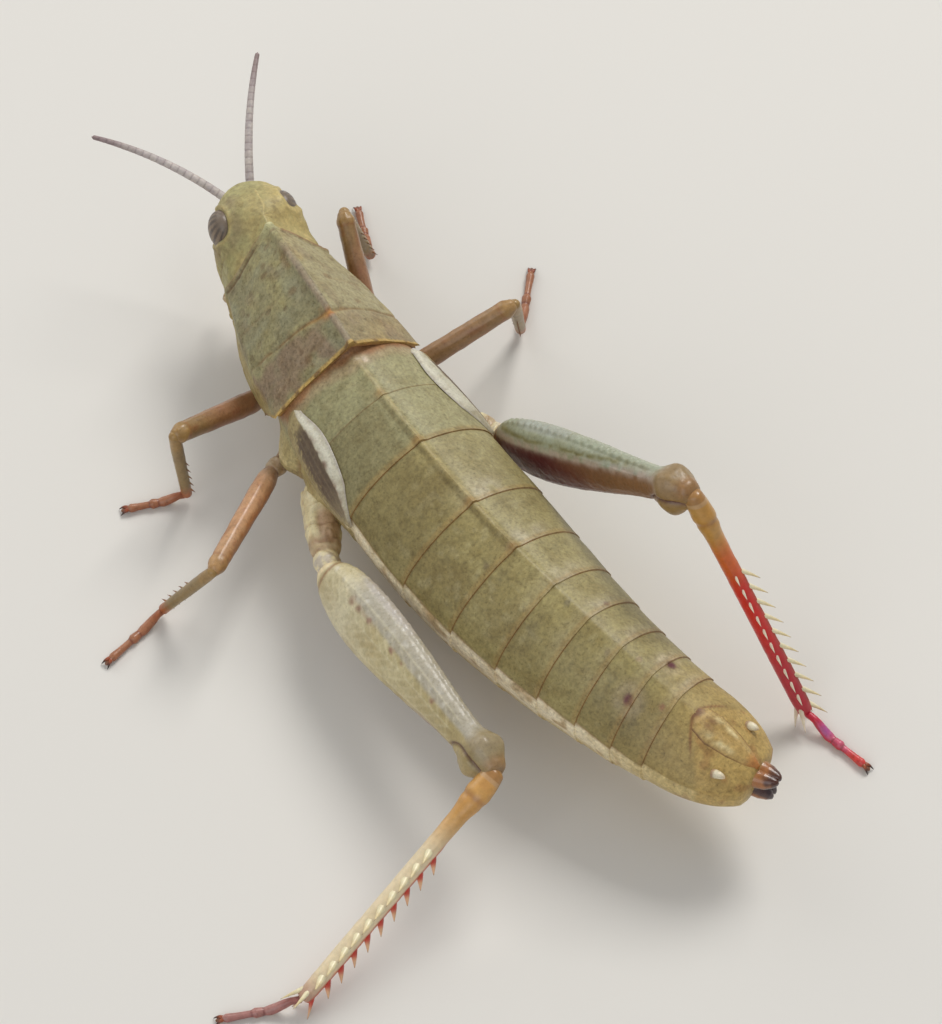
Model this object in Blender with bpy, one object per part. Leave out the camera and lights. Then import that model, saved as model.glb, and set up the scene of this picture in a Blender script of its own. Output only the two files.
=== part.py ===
"""A female stone grasshopper at life size, standing still on the ground.

Every length below is in millimetres and every angle in degrees. Stations run back along the
midline of the body, from the tip of the head at 0 to the tail. A point on the body is given as
(station, distance to the animal's left, height above the ground).
"""

import math

import bmesh
import bpy
from mathutils import Matrix, Vector

MM = 0.001
GAP = 0.3  # clearance between pieces that touch in life
GROUND = 0.0

# The midline: (station, degrees by which it veers to the animal's left going back).
VEER = ((0, 18), (8, 11), (15, 7), (30, 1), (45, -8), (53, -16), (62, -24))
PATH_STEP = 0.25
PATH_ZERO = 30.0  # the station that the midline's own axes are set on

# Trunk sections: (station, keel top, height of widest level, belly, half width, keel ridge).
TRUNK = (
    (6.0, 12.0, 8.4, 3.6, 3.6, 0.0),
    (14.0, 13.0, 8.6, 3.2, 4.9, 0.0),
    (18.0, 13.3, 8.6, 3.0, 5.4, 0.1),
    (22.0, 13.3, 8.5, 2.8, 5.9, 0.2),
    (26.7, 13.3, 8.4, 2.5, 6.1, 0.3),
    (32.8, 13.2, 8.2, 2.2, 6.15, 0.3),
    (37.4, 13.1, 8.0, 2.1, 5.9, 0.25),
    (41.3, 13.0, 7.9, 2.1, 5.5, 0.15),
    (44.7, 12.8, 7.8, 2.3, 5.1, 0.05),
    (47.7, 12.4, 7.7, 2.6, 4.75, 0.0),
    (50.4, 11.7, 7.5, 2.9, 4.5, 0.0),
    (52.7, 11.0, 7.4, 3.3, 4.25, 0.0),
    (55.5, 10.0, 7.2, 3.6, 3.9, 0.0),
    (57.6, 9.0, 7.0, 4.2, 3.25, 0.0),
    (59.4, 8.0, 6.8, 5.0, 2.1, 0.0),
)
BACK_POINT, BACK_ROUND = 1.5, 0.62  # exponents of the arched back
BELLY_POINT, BELLY_ROUND = 2.6, 0.5  # exponents of the fuller belly
RING = 24  # points round a trunk section

TERGITE_ENDS = (22.0, 26.7, 32.8, 37.4, 41.3, 44.7, 47.7, 50.4, 52.7)
METATHORAX_SET_BACK = 0.85  # from the rear end of the shield's keel
TERGITE_FLARE = 0.12  # each ring of the abdomen widens by this towards its rear edge
TAIL_END = 58.8
EPIPROCT = ((0.0, 0.75), (0.3, 0.85), (0.7, 0.7), (1.0, 0.25))  # (share of length, half width)
EPIPROCT_FRONT, EPIPROCT_LENGTH, EPIPROCT_THICK = 54.0, 5.2, 0.5
UPPER_VALVE = ((59.15, 0.0, 7.2), (60.8, 0.0, 7.3))
LOWER_VALVE = ((59.15, 0.0, 5.9), (60.5, 0.0, 5.7))
VALVE = ((0.0, 0.55, 1.0, 0.55), (0.4, 0.5, 0.95, 0.5), (0.8, 0.35, 0.7, 0.35), (1.0, 0.12, 0.35, 0.12))
CERCUS_PLACE = ((56.6, 8.5, 0.6), (58.3, 8.3, 0.75))  # (station, height, how far off the flank)
CERCUS = ((0.0, 0.33, 0.33, 0.33), (0.5, 0.3, 0.3, 0.3), (1.0, 0.08, 0.08, 0.08))

# The saddle-shaped shield: (fraction of its length, keel top, half width, lower edge of its lobes).
PRONOTUM = (
    (0.0, 13.0, 3.9, 6.0),
    (0.12, 13.6, 4.2, 5.5),
    (0.4, 14.5, 5.0, 5.2),
    (0.7, 14.8, 5.5, 5.4),
    (1.0, 14.5, 5.8, 5.9),
)
PRONOTUM_FRONT, PRONOTUM_REAR = 5.2, 17.9
PRONOTUM_RIDGE = 0.3
PRONOTUM_WIDEST = 9.0  # height of its shoulder, below which its lobes hang down
PRONOTUM_POINT, PRONOTUM_ROUND = 1.12, 0.86
LOBE_TUCK = 0.92  # width of the lobes at their lower edge, as a share of the shoulder's
EDGE_SLOPE = 0.11  # how far the shield's edges move with height
LOBE_SLOPE, LOBE_DEPTH = 0.65, 3.0  # how the rear edge of a lobe swings forward as it drops
PRONOTUM_ROWS, PRONOTUM_ARCH = 9, 12
STERNUM_FRONT, STERNUM_REAR, STERNUM_ROWS = 7.2, 14.6, 5

# Head slices: (height, front station, rear station, half width, pointedness of the front).
HEAD = (
    (3.0, 4.7, 6.3, 1.2, 2.4),
    (3.8, 4.0, 6.6, 2.2, 2.6),
    (5.0, 2.9, 6.2, 3.1, 2.8),
    (6.5, 2.0, 5.5, 3.6, 2.8),
    (8.0, 1.2, 5.4, 3.7, 2.6),
    (9.3, 0.6, 5.3, 3.5, 2.3),
    (10.2, 0.1, 5.1, 3.25, 2.0),
    (10.8, -0.3, 5.0, 3.05, 1.8),
    (11.3, 0.1, 4.9, 2.7, 1.8),
    (11.9, 1.2, 4.85, 2.25, 1.9),
    (12.5, 2.6, 4.8, 1.6, 2.0),
    (12.9, 3.8, 4.7, 0.7, 2.0),
)
HEAD_RING = 20
HEAD_MIDDLE = 0.6  # where a slice is widest, as a share of its length
HEAD_BACK_POINT = 2.6
EYE_PLACE = (2.45, 2.95, 10.4)
EYE_RADII = (1.0, 1.25, 1.75)  # across the head, along it and upwards
EYE_LEAN = 12.0  # the eye's top leans back by this

ANTENNA_BASE = (0.1, 0.55, 8.7)
ANTENNA_LENGTH = 11.7
ANTENNA_RADII = ((0.0, 0.4), (0.06, 0.3), (0.12, 0.3), (0.5, 0.28), (1.0, 0.25))
ANTENNA_BEARING = {"left": 19.0, "right": -31.0}  # seen from above, from straight ahead
ANTENNA_RISE = {"left": 18.0, "right": 20.0}
ANTENNA_BEND = {"left": 21.0, "right": -16.0}
ANTENNA_DROOP = 12.0  # how much flatter it lies at its tip than at its base
ANTENNA_PIECES = 14

PALP_ROUTE = ((4.6, 2.75, 3.6), (3.9, 3.2, 2.9), (3.0, 3.0, 2.3), (2.4, 2.4, 2.2))
PALP_RADIUS = 0.27

# The reduced wings: upper and lower edges as (station, height) where they lie on the flank.
TEGMEN_TOP = ((18.3, 11.0), (21.0, 11.3), (24.0, 10.9), (26.2, 9.9), (27.2, 8.8))
TEGMEN_BOTTOM = ((18.3, 8.8), (21.0, 7.8), (24.0, 7.5), (26.2, 7.9), (27.2, 8.5))
TEGMEN_THICK = 0.6
TEGMEN_ROWS = 8

# Legs: bearing is measured from straight ahead towards the leg's own side. Each pair shares its
# lengths; each leg has its own hip, knee rise and bearings, and its tibia ends at ankle height.
LENGTHS = {"fore": (9.7, 7.8, 3.6), "mid": (10.8, 7.4, 4.6), "hind": (21.4, 20.0, 4.6)}
COXA_ROOT = {"fore": (12.1, 2.4, 3.8), "mid": (17.0, 2.8, 4.0), "hind": (22.6, 4.9, 5.2)}
COXA_GIRTH = {"fore": 0.85, "mid": 0.95, "hind": 1.4}
COXA_PROFILE = ((0.0, 0.9), (0.3, 1.0), (0.75, 0.85), (1.0, 0.5))
KEEP_OUT_STATIONS = (10.0, 14.0, 18.0, 22.0, 26.0, 30.0)
ANKLE = {"fore": 0.8, "mid": 0.8, "hind": 1.25}  # height of the ankle
LEGS = {
    "fore_left": dict(hip=(12.6, 4.3, 4.1), femur=(98, 27.5), tibia=-119, tarsus=66, roll=0),
    "fore_right": dict(hip=(12.2, 4.95, 3.7), femur=(22, 28), tibia=90, tarsus=25, roll=0),
    "mid_left": dict(hip=(18.4, 7.0, 4.8), femur=(121, 12.5), tibia=41, tarsus=99, roll=0),
    "mid_right": dict(hip=(15.8, 3.9, 3.7), femur=(103, 22), tibia=49, tarsus=46, roll=0),
    "hind_left": dict(hip=(27.6, 8.7, 6.0), femur=(176, 7.5), tibia=98, tarsus=64, roll=38),
    "hind_right": dict(hip=(25.6, 7.5, 6.0), femur=(171, 34), tibia=169, tarsus=171, roll=-4),
}

# Outlines of the limbs: (share of length, rise above the axis, half width, fall below the axis).
HIND_FEMUR = (
    (0.0, 0.8, 0.85, 0.8),
    (0.05, 1.55, 1.1, 1.7),
    (0.18, 2.1, 1.35, 2.4),
    (0.35, 2.15, 1.35, 2.4),
    (0.55, 1.85, 1.2, 1.9),
    (0.75, 1.4, 1.0, 1.3),
    (0.86, 1.3, 0.95, 1.2),
    (0.94, 1.45, 1.1, 1.4),
    (1.0, 0.9, 0.8, 0.9),
)
WALKING_FEMUR = (
    (0.0, 0.45, 0.45, 0.45),
    (0.1, 0.75, 0.64, 0.75),
    (0.5, 0.72, 0.62, 0.72),
    (0.88, 0.66, 0.6, 0.66),
    (0.96, 0.66, 0.6, 0.66),
    (1.0, 0.45, 0.4, 0.45),
)
HIND_TIBIA = (
    (0.0, 0.6, 0.55, 0.6),
    (0.05, 0.85, 0.72, 0.85),
    (0.14, 0.62, 0.6, 0.62),
    (0.5, 0.58, 0.6, 0.58),
    (0.94, 0.52, 0.62, 0.52),
    (1.0, 0.45, 0.5, 0.45),
)
WALKING_TIBIA = (
    (0.0, 0.35, 0.35, 0.35),
    (0.08, 0.45, 0.42, 0.45),
    (0.6, 0.4, 0.38, 0.4),
    (1.0, 0.36, 0.36, 0.36),
)
SPINES_OUTER, SPINES_INNER = 9, 10  # along the back of the hind tibia
SPINE_LENGTH, SPINE_RADIUS = 1.15, 0.26
SPINE_SPREAD, SPINE_SLANT = 38.0, 32.0  # out from the tibia's back, and towards its foot
SPINES_FROM, SPINES_TO = 0.27, 0.93
SPINE_SINK = 0.3  # a spine's base lies inside the tibia
SPUR_LENGTH, SPUR_PLACE = 1.4, 0.97
SPUR_TURNS = ((60.0, 55.0), (130.0, 60.0))  # (spread, slant) of the two spurs on each side
KNEE_GAP = {"fore": 1.0, "mid": 0.95, "hind": 1.35}  # from the knee's middle to the tibia
TARSUS_RADII = (0.3, 0.36, 0.42, 0.3, 0.42, 0.3, 0.3, 0.27, 0.34, 0.3)
TARSUS_START = {"fore": 0.65, "mid": 0.65, "hind": 0.9}  # from the ankle's middle
TARSUS_LEVEL = 0.34  # height of the foot's axis
CLAW_LENGTH, CLAW_RADIUS, CLAW_SINK = 1.0, 0.25, 0.25
CLAW_SPREAD, CLAW_DIP = 28.0, 95.0

# Colour and roughness of each finish.
FINISHES = {
    "head": ((0.42, 0.37, 0.17), 0.5),
    "eye": ((0.20, 0.17, 0.14), 0.25),
    "antenna": ((0.33, 0.27, 0.30), 0.55),
    "pronotum": ((0.40, 0.38, 0.22), 0.55),
    "underside": ((0.50, 0.44, 0.26), 0.5),
    "tegmen": ((0.55, 0.50, 0.40), 0.5),
    "abdomen": ((0.36, 0.35, 0.20), 0.5),
    "valve": ((0.16, 0.08, 0.05), 0.35),
    "walking_leg": ((0.52, 0.28, 0.14), 0.4),
    "hind_femur": ((0.55, 0.53, 0.36), 0.5),
    "hind_tibia": ((0.72, 0.40, 0.22), 0.4),
    "tarsus": ((0.50, 0.20, 0.16), 0.45),
}
SHARP_ANGLE = 40.0


def along(table, place):
    """The table's values at a place between its rows, on a smooth curve through them."""
    places = [row[0] for row in table]
    place = min(max(place, places[0]), places[-1])
    k = max(i for i in range(len(table) - 1) if places[i] <= place)
    step = places[k + 1] - places[k]
    t = (place - places[k]) / step

    def slope(i, column):
        low, high = max(i - 1, 0), min(i + 1, len(table) - 1)
        return (table[high][column] - table[low][column]) / (places[high] - places[low])

    values = []
    for column in range(1, len(table[0])):
        start, end = table[k][column], table[k + 1][column]
        values.append(
            (2 * t**3 - 3 * t**2 + 1) * start
            + (t**3 - 2 * t**2 + t) * slope(k, column) * step
            + (3 * t**2 - 2 * t**3) * end
            + (t**3 - t**2) * slope(k + 1, column) * step
        )
    return values if len(values) > 1 else values[0]


def midline_points():
    """Points every PATH_STEP along the midline, seen from above."""
    points = [Vector((0.0, 0.0))]
    for i in range(int(VEER[-1][0] / PATH_STEP)):
        veer = math.radians(along(VEER, (i + 0.5) * PATH_STEP))
        points.append(points[-1] + PATH_STEP * Vector((math.sin(veer), math.cos(veer))))
    zero = points[int(PATH_ZERO / PATH_STEP)].copy()
    return [point - zero for point in points]


MIDLINE = midline_points()


def body_point(station, left, height):
    """The place of a point on the body."""
    k = min(max(int(station / PATH_STEP), 0), len(MIDLINE) - 1)
    veer = math.radians(along(VEER, station))
    back = Vector((math.sin(veer), math.cos(veer)))
    spot = MIDLINE[k] + (station - k * PATH_STEP) * back + left * Vector((back.y, -back.x))
    return Vector((spot.x, spot.y, height))


def loft(rings):
    """A closed solid through rings of points."""
    shape = bmesh.new()
    rows = [[shape.verts.new(point) for point in ring] for ring in rings]
    count = len(rows[0])
    for near, far in zip(rows, rows[1:]):
        for i in range(count):
            shape.faces.new((near[i], near[(i + 1) % count], far[(i + 1) % count], far[i]))
    shape.faces.new(rows[0][::-1])
    shape.faces.new(rows[-1])
    bmesh.ops.recalc_face_normals(shape, faces=shape.faces)
    return shape


def material(name):
    made = bpy.data.materials.get(name) or bpy.data.materials.new(name)
    made.use_nodes = True
    shader = made.node_tree.nodes["Principled BSDF"]
    color, rough = FINISHES[name]
    shader.inputs["Base Color"].default_value = (*color, 1.0)
    shader.inputs["Roughness"].default_value = rough
    shader.inputs["Metallic"].default_value = 0.0
    made.diffuse_color = (*color, 1.0)
    return made


def add(name, shape, finish, frame=None):
    """The shape, in millimetres, as a named piece of the animal. frame places it, in metres."""
    shape.transform(Matrix.Scale(MM, 4))
    mesh = bpy.data.meshes.new(name)
    shape.to_mesh(mesh)
    shape.free()
    mesh.materials.append(material(finish))
    mesh.shade_smooth()
    mesh.set_sharp_from_angle(angle=math.radians(SHARP_ANGLE))
    piece = bpy.data.objects.new(name, mesh)
    piece.matrix_world = frame or Matrix()
    PARTS.objects.link(piece)
    piece.parent = AXES
    return piece


def as_cutter(piece):
    """Moves a piece among the hidden cutters."""
    PARTS.objects.unlink(piece)
    CUTTERS.objects.link(piece)
    piece.hide_render = True
    piece.display_type = "WIRE"
    return piece


def combine(piece, other, operation):
    step = piece.modifiers.new(f"{operation.lower()}_{other.name}", "BOOLEAN")
    step.operation = operation
    step.object = other
    step.solver = "EXACT"
    step.use_self = operation == "UNION"


def limb(profile, length, count=10):
    """A solid along +X. Profile rows: (share of length, rise, half width, fall)."""
    rings = []
    for share, rise, wide, fall in profile:
        ring = []
        for k in range(count):
            angle = 2 * math.pi * k / count
            reach = rise if math.sin(angle) >= 0 else fall
            ring.append(Vector((share * length, wide * math.cos(angle), reach * math.sin(angle))))
        rings.append(ring)
    return loft(rings)


def limb_frame(start, direction, up):
    """Axes at a joint, in metres: +X along the limb and +Z as near to up as can be."""
    x = direction.normalized()
    z = (up - up.dot(x) * x).normalized()
    frame = Matrix((x, z.cross(x), z)).transposed().to_4x4()
    frame.translation = start * MM
    return frame


def trunk_ring(station, grow=0.0, lean=None):
    """Points round the trunk. lean(height) says how far behind the station a point lies."""
    top, widest, belly, half, ridge = along(TRUNK, station)
    points = []
    for k in range(RING):
        angle = 2 * math.pi * k / RING
        across = math.cos(angle)
        if math.sin(angle) >= 0:
            arch = (1 - abs(across) ** BACK_POINT) ** BACK_ROUND
            height = widest + (top - widest + grow) * arch
        else:
            arch = (1 - abs(across) ** BELLY_POINT) ** BELLY_ROUND
            height = widest - (widest - belly + grow) * arch
        if k == RING // 4:
            height += ridge
        place = station + (lean(height) if lean else 0.0)
        points.append(body_point(place, (half + grow) * across, height))
    return points


def flank(station, height):
    """The trunk's half width at a height on its side."""
    top, widest, belly, half, _ = along(TRUNK, station)
    if height >= widest:
        share = min((height - widest) / (top - widest), 1.0)
        return half * (1 - share ** (1 / BACK_ROUND)) ** (1 / BACK_POINT)
    share = min((widest - height) / (widest - belly), 1.0)
    return half * (1 - share ** (1 / BELLY_ROUND)) ** (1 / BELLY_POINT)


def proud_of_flank(station, height, side, proud):
    """A point that stands proud of the trunk's side at a height."""
    step = 0.2
    slant = (flank(station, height + step) - flank(station, height - step)) / (2 * step)
    outward = Vector((1.0, -slant)).normalized()
    left = flank(station, height) + proud * outward.x
    return body_point(station, side * left, height + proud * outward.y)


def shield_lean(height):
    """How far the shield's rear edge lies behind the end of its keel, at a height."""
    lobe = min(max(PRONOTUM_WIDEST - height, 0.0), LOBE_DEPTH)
    return -EDGE_SLOPE * (PRONOTUM[-1][1] - height) - LOBE_SLOPE * lobe


def build_pronotum():
    rings = []
    for i in range(PRONOTUM_ROWS + 1):
        share = i / PRONOTUM_ROWS
        top, half, low = along(PRONOTUM, share)
        outline = [(half * LOBE_TUCK, low), (half, (low + PRONOTUM_WIDEST) / 2)]
        for k in range(PRONOTUM_ARCH + 1):
            across = math.cos(math.pi * k / PRONOTUM_ARCH)
            arch = (1 - abs(across) ** PRONOTUM_POINT) ** PRONOTUM_ROUND
            ridge = PRONOTUM_RIDGE if 2 * k == PRONOTUM_ARCH else 0.0
            outline.append((half * across, PRONOTUM_WIDEST + (top - PRONOTUM_WIDEST) * arch + ridge))
        outline += [(-left, height) for left, height in outline[1::-1]]
        ring = []
        for left, height in outline:
            front = PRONOTUM_FRONT + EDGE_SLOPE * (PRONOTUM[0][1] - height)
            rear = PRONOTUM_REAR + shield_lean(height)
            ring.append(body_point(front + share * (rear - front), left, height))
        rings.append(ring)
    return add("pronotum", loft(rings), "pronotum")


def build_sternum():
    """The underside of the front of the body, between the shield's lobes and the legs."""
    rings = []
    for i in range(STERNUM_ROWS + 1):
        station = STERNUM_FRONT + i / STERNUM_ROWS * (STERNUM_REAR - STERNUM_FRONT)
        share = (station - PRONOTUM_FRONT) / (PRONOTUM_REAR - PRONOTUM_FRONT)
        ceiling = min(along(PRONOTUM, share)[2] for share in (share - 0.05, share + 0.12)) - GAP
        belly = along(TRUNK, station)[2]
        ring = []
        for k in range(12):
            angle = math.pi * k / 11
            height = ceiling - (ceiling - belly) * math.sin(angle)
            half = flank(station, height)
            ring.append(body_point(station, math.copysign(half, math.cos(angle)), height))
        rings.append(ring)
    return add("sternum", loft(rings), "underside")


def build_metathorax():
    """The ring behind the shield, whose front edge follows the shield's rear edge."""
    start = PRONOTUM_REAR + METATHORAX_SET_BACK
    rear = TERGITE_ENDS[0] - GAP / 2
    rings = []
    for share in (0.0, 0.35, 0.7, 1.0):
        station = start + share * (rear - start)
        rings.append(trunk_ring(station, lean=lambda height: (1 - share) * shield_lean(height)))
    return add("metathorax", loft(rings), "underside")


def build_abdomen():
    for number, (start, end) in enumerate(zip(TERGITE_ENDS, TERGITE_ENDS[1:]), 1):
        rings = []
        for share in (0.0, 0.5, 1.0):
            station = start + GAP / 2 + share * (end - start - GAP)
            rings.append(trunk_ring(station, grow=TERGITE_FLARE * (2 * share - 1)))
        add(f"abdomen_{number}", loft(rings), "abdomen")
    start = TERGITE_ENDS[-1] + GAP / 2
    rings = [
        trunk_ring(start + share * (TAIL_END - start), grow=-TERGITE_FLARE)
        for share in (0.0, 0.35, 0.7, 1.0)
    ]
    add(f"abdomen_{len(TERGITE_ENDS)}", loft(rings), "abdomen")


def build_tail():
    """The plate over the tail, the two feelers beside it and the egg-laying valves."""
    rings = []
    for share, half in EPIPROCT:
        station = EPIPROCT_FRONT + share * EPIPROCT_LENGTH
        level = along(TRUNK, station)[0] + GAP + 0.5 * EPIPROCT_THICK
        ring = []
        for k in range(8):
            angle = 2 * math.pi * k / 8
            height = level + 0.5 * EPIPROCT_THICK * math.sin(angle)
            ring.append(body_point(station, half * math.cos(angle), height))
        rings.append(ring)
    add("epiproct", loft(rings), "abdomen")
    pieces = [
        ("ovipositor_upper", [body_point(*place) for place in UPPER_VALVE], VALVE, "valve"),
        ("ovipositor_lower", [body_point(*place) for place in LOWER_VALVE], VALVE, "valve"),
    ]
    for side, word in ((1, "left"), (-1, "right")):
        ends = [proud_of_flank(place[0], place[1], side, place[2]) for place in CERCUS_PLACE]
        pieces.append((f"cercus_{word}", ends, CERCUS, "tegmen"))
    for name, (start, end), profile, finish in pieces:
        frame = limb_frame(start, end - start, Vector((0, 0, 1)))
        add(name, limb(profile, (end - start).length, 8), finish, frame)


def build_head():
    rings = []
    for height, front, rear, half, point in HEAD:
        middle = front + HEAD_MIDDLE * (rear - front)
        ring = []
        for k in range(HEAD_RING):
            angle = 2 * math.pi * k / HEAD_RING
            ahead, aside = math.cos(angle), math.sin(angle)
            power = point if ahead > 0 else HEAD_BACK_POINT
            size = (abs(ahead) ** power + abs(aside) ** power) ** (-1 / power)
            reach = middle - front if ahead > 0 else rear - middle
            ring.append(body_point(middle - size * ahead * reach, half * size * aside, height))
        rings.append(ring)
    head = add("head", loft(rings), "head")
    for side, word in ((1, "left"), (-1, "right")):
        place = body_point(EYE_PLACE[0], side * EYE_PLACE[1], EYE_PLACE[2])
        turn = Matrix.Rotation(-math.radians(along(VEER, EYE_PLACE[0])), 4, "Z")
        lean = Matrix.Rotation(-math.radians(EYE_LEAN), 4, "X")
        frame = Matrix.Translation(place * MM) @ turn @ lean
        for name, grow in ((f"eye_{word}", 0.0), (f"socket_{word}", GAP)):
            ball = bmesh.new()
            bmesh.ops.create_uvsphere(ball, u_segments=16, v_segments=10, radius=1.0)
            ball.transform(Matrix.Diagonal([radius + grow for radius in EYE_RADII] + [1.0]))
            piece = add(name, ball, "eye", frame)
        combine(head, as_cutter(piece), "DIFFERENCE")


def build_antennae():
    for side, word in ((1, "left"), (-1, "right")):
        spot = body_point(ANTENNA_BASE[0], side * ANTENNA_BASE[1], ANTENNA_BASE[2])
        rings = []
        for i in range(ANTENNA_PIECES + 1):
            share = i / ANTENNA_PIECES
            bearing = math.radians(ANTENNA_BEARING[word] + ANTENNA_BEND[word] * share)
            rise = math.radians(ANTENNA_RISE[word] - ANTENNA_DROOP * share)
            flat = Vector((math.sin(bearing), -math.cos(bearing), 0.0))
            ahead = flat * math.cos(rise) + Vector((0.0, 0.0, math.sin(rise)))
            axes = limb_frame(spot, ahead, Vector((0, 0, 1))).to_3x3()
            radius = along(ANTENNA_RADII, share)
            ring = []
            for k in range(8):
                angle = 2 * math.pi * k / 8
                ring.append(spot + axes @ Vector((0, math.cos(angle), math.sin(angle))) * radius)
            rings.append(ring)
            spot = spot + ahead * (ANTENNA_LENGTH / ANTENNA_PIECES)
        add(f"antenna_{word}", loft(rings), "antenna")


def build_palps():
    for side, word in ((1, "left"), (-1, "right")):
        curve = bpy.data.curves.new(f"palp_{word}", "CURVE")
        curve.dimensions = "3D"
        curve.bevel_depth = PALP_RADIUS * MM
        curve.bevel_resolution = 2
        curve.use_fill_caps = True
        route = curve.splines.new("POLY")
        route.points.add(len(PALP_ROUTE) - 1)
        for point, (station, left, height) in zip(route.points, PALP_ROUTE):
            point.co = (*(body_point(station, side * left, height) * MM), 1.0)
        curve.materials.append(material("walking_leg"))
        palp = bpy.data.objects.new(f"palp_{word}", curve)
        PARTS.objects.link(palp)
        palp.parent = AXES


def build_tegmina():
    """The reduced wings, which lie on the flanks behind the shield."""
    first, last = TEGMEN_TOP[0][0], TEGMEN_TOP[-1][0]
    for side, word in ((1, "left"), (-1, "right")):
        rings = []
        for i in range(TEGMEN_ROWS + 1):
            station = first + i / TEGMEN_ROWS * (last - first)
            low, high = along(TEGMEN_BOTTOM, station), along(TEGMEN_TOP, station)
            levels = [low + k / 4 * (high - low) for k in range(5)]
            inner = [proud_of_flank(station, level, side, GAP + 0.05) for level in levels]
            outer = [proud_of_flank(station, level, side, GAP + TEGMEN_THICK) for level in levels]
            rings.append(inner + outer[::-1])
        add(f"tegmen_{word}", loft(rings), "tegmen")


def heading(bearing, rise, side):
    """A direction from a bearing off straight ahead, towards a side, and a rise."""
    flat = math.cos(math.radians(rise))
    return Vector((
        side * flat * math.sin(math.radians(bearing)),
        -flat * math.cos(math.radians(bearing)),
        math.sin(math.radians(rise)),
    ))


def build_coxa(name, pair, side, hip, keep_out):
    """The leg's root, from the body's wall out to the hip."""
    station, left, height = COXA_ROOT[pair]
    root = body_point(station, side * left, height)
    girth = COXA_GIRTH[pair]
    profile = [(share, size * girth, size * girth, size * girth) for share, size in COXA_PROFILE]
    reach = hip - root
    coxa = add(f"{name}_coxa", limb(profile, reach.length - 1.5 * GAP), "hind_femur",
               limb_frame(root, reach, Vector((0, 0, 1))))
    combine(coxa, keep_out, "DIFFERENCE")


def spine(length, radius):
    cone = bmesh.new()
    bmesh.ops.create_cone(cone, cap_ends=True, segments=5, radius1=radius, radius2=0.04,
                          depth=length, matrix=Matrix.Translation((0, 0, 0.5 * length)))
    return cone


def spines(length):
    """The two rows of spines on the back of the hind tibia, with the spurs at its end."""
    joined = bmesh.new()
    rows = []
    for sign, count in ((1, SPINES_OUTER), (-1, SPINES_INNER)):
        for i in range(count):
            share = SPINES_FROM + (i + 0.5) / count * (SPINES_TO - SPINES_FROM)
            rows.append((share * length, sign, SPINE_LENGTH, SPINE_SPREAD, SPINE_SLANT))
        for spread, slant in SPUR_TURNS:
            rows.append((SPUR_PLACE * length, sign, SPUR_LENGTH, spread, slant))
    for place, sign, size, spread, slant in rows:
        cone = spine(size, SPINE_RADIUS)
        cone.transform(
            Matrix.Translation((place, 0, 0))
            @ Matrix.Rotation(-sign * math.radians(spread), 4, "X")
            @ Matrix.Rotation(math.radians(slant), 4, "Y")
            @ Matrix.Translation((0, 0, SPINE_SINK))
        )
        mesh = bpy.data.meshes.new("spine")
        cone.to_mesh(mesh)
        cone.free()
        joined.from_mesh(mesh)
        bpy.data.meshes.remove(mesh)
    return joined


def build_tarsus(name, pair, ankle, bearing, side):
    """The foot: padded joints flat on the ground, ending in two claws."""
    length = LENGTHS[pair][2]
    rings = []
    last = len(TARSUS_RADII) - 1
    for i, radius in enumerate(TARSUS_RADII):
        axis = ANKLE[pair] + (TARSUS_LEVEL - ANKLE[pair]) * min(3.0 * i / last, 1.0)
        ring = []
        for k in range(10):
            angle = 2 * math.pi * k / 10
            height = max(axis + radius * math.sin(angle), 0.0)
            ring.append(Vector((i / last * length, radius * math.cos(angle), height)))
        rings.append(ring)
    forward = heading(bearing, 0.0, side)
    start = Vector((ankle.x, ankle.y, GROUND)) + TARSUS_START[pair] * forward
    frame = limb_frame(start, forward, Vector((0, 0, 1)))
    foot = add(f"{name}_tarsus", loft(rings), "tarsus", frame)
    for sign in (1, -1):
        claw = spine(CLAW_LENGTH, CLAW_RADIUS)
        claw.transform(
            Matrix.Translation((length - CLAW_SINK, 0, TARSUS_LEVEL))
            @ Matrix.Rotation(sign * math.radians(CLAW_SPREAD), 4, "Z")
            @ Matrix.Rotation(math.radians(CLAW_DIP), 4, "Y")
        )
        combine(foot, as_cutter(add(f"{name}_claw_{sign}", claw, "tarsus", frame)), "UNION")


def build_leg(name, keep_out):
    pair, word = name.split("_")
    side = 1 if word == "left" else -1
    leg = LEGS[name]
    femur_length, tibia_length, _ = LENGTHS[pair]
    station, left, height = leg["hip"]
    hip = body_point(station, side * left, height)
    build_coxa(name, pair, side, hip, keep_out)

    thigh = heading(*leg["femur"], side)
    roll = math.radians(leg["roll"])
    inward = heading(90.0, 0.0, -side)
    femur_up = Vector((0, 0, math.cos(roll))) + inward * math.sin(roll)
    knee = hip + thigh * femur_length
    outline, finish = (HIND_FEMUR, "hind_femur") if pair == "hind" else (WALKING_FEMUR, "walking_leg")
    add(f"{name}_femur", limb(outline, femur_length - GAP, 12), finish,
        limb_frame(hip + thigh * GAP / 2, thigh, femur_up))

    drop = math.degrees(math.asin((knee.z - GROUND - ANKLE[pair]) / tibia_length))
    shin = heading(leg["tibia"], -drop, side)
    outline, finish = (HIND_TIBIA, "hind_tibia") if pair == "hind" else (WALKING_TIBIA, "walking_leg")
    frame = limb_frame(knee + shin * KNEE_GAP[pair], shin, thigh)
    length = tibia_length - KNEE_GAP[pair]
    tibia = add(f"{name}_tibia", limb(outline, length), finish, frame)
    if pair == "hind":
        combine(tibia, as_cutter(add(f"{name}_spines", spines(length), finish, frame)), "UNION")
    build_tarsus(name, pair, knee + shin * tibia_length, leg["tarsus"], side)


def build_legs():
    rings = [trunk_ring(station, grow=GAP) for station in KEEP_OUT_STATIONS]
    keep_out = as_cutter(add("leg_room", loft(rings), "underside"))
    for name in LEGS:
        build_leg(name, keep_out)


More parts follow.
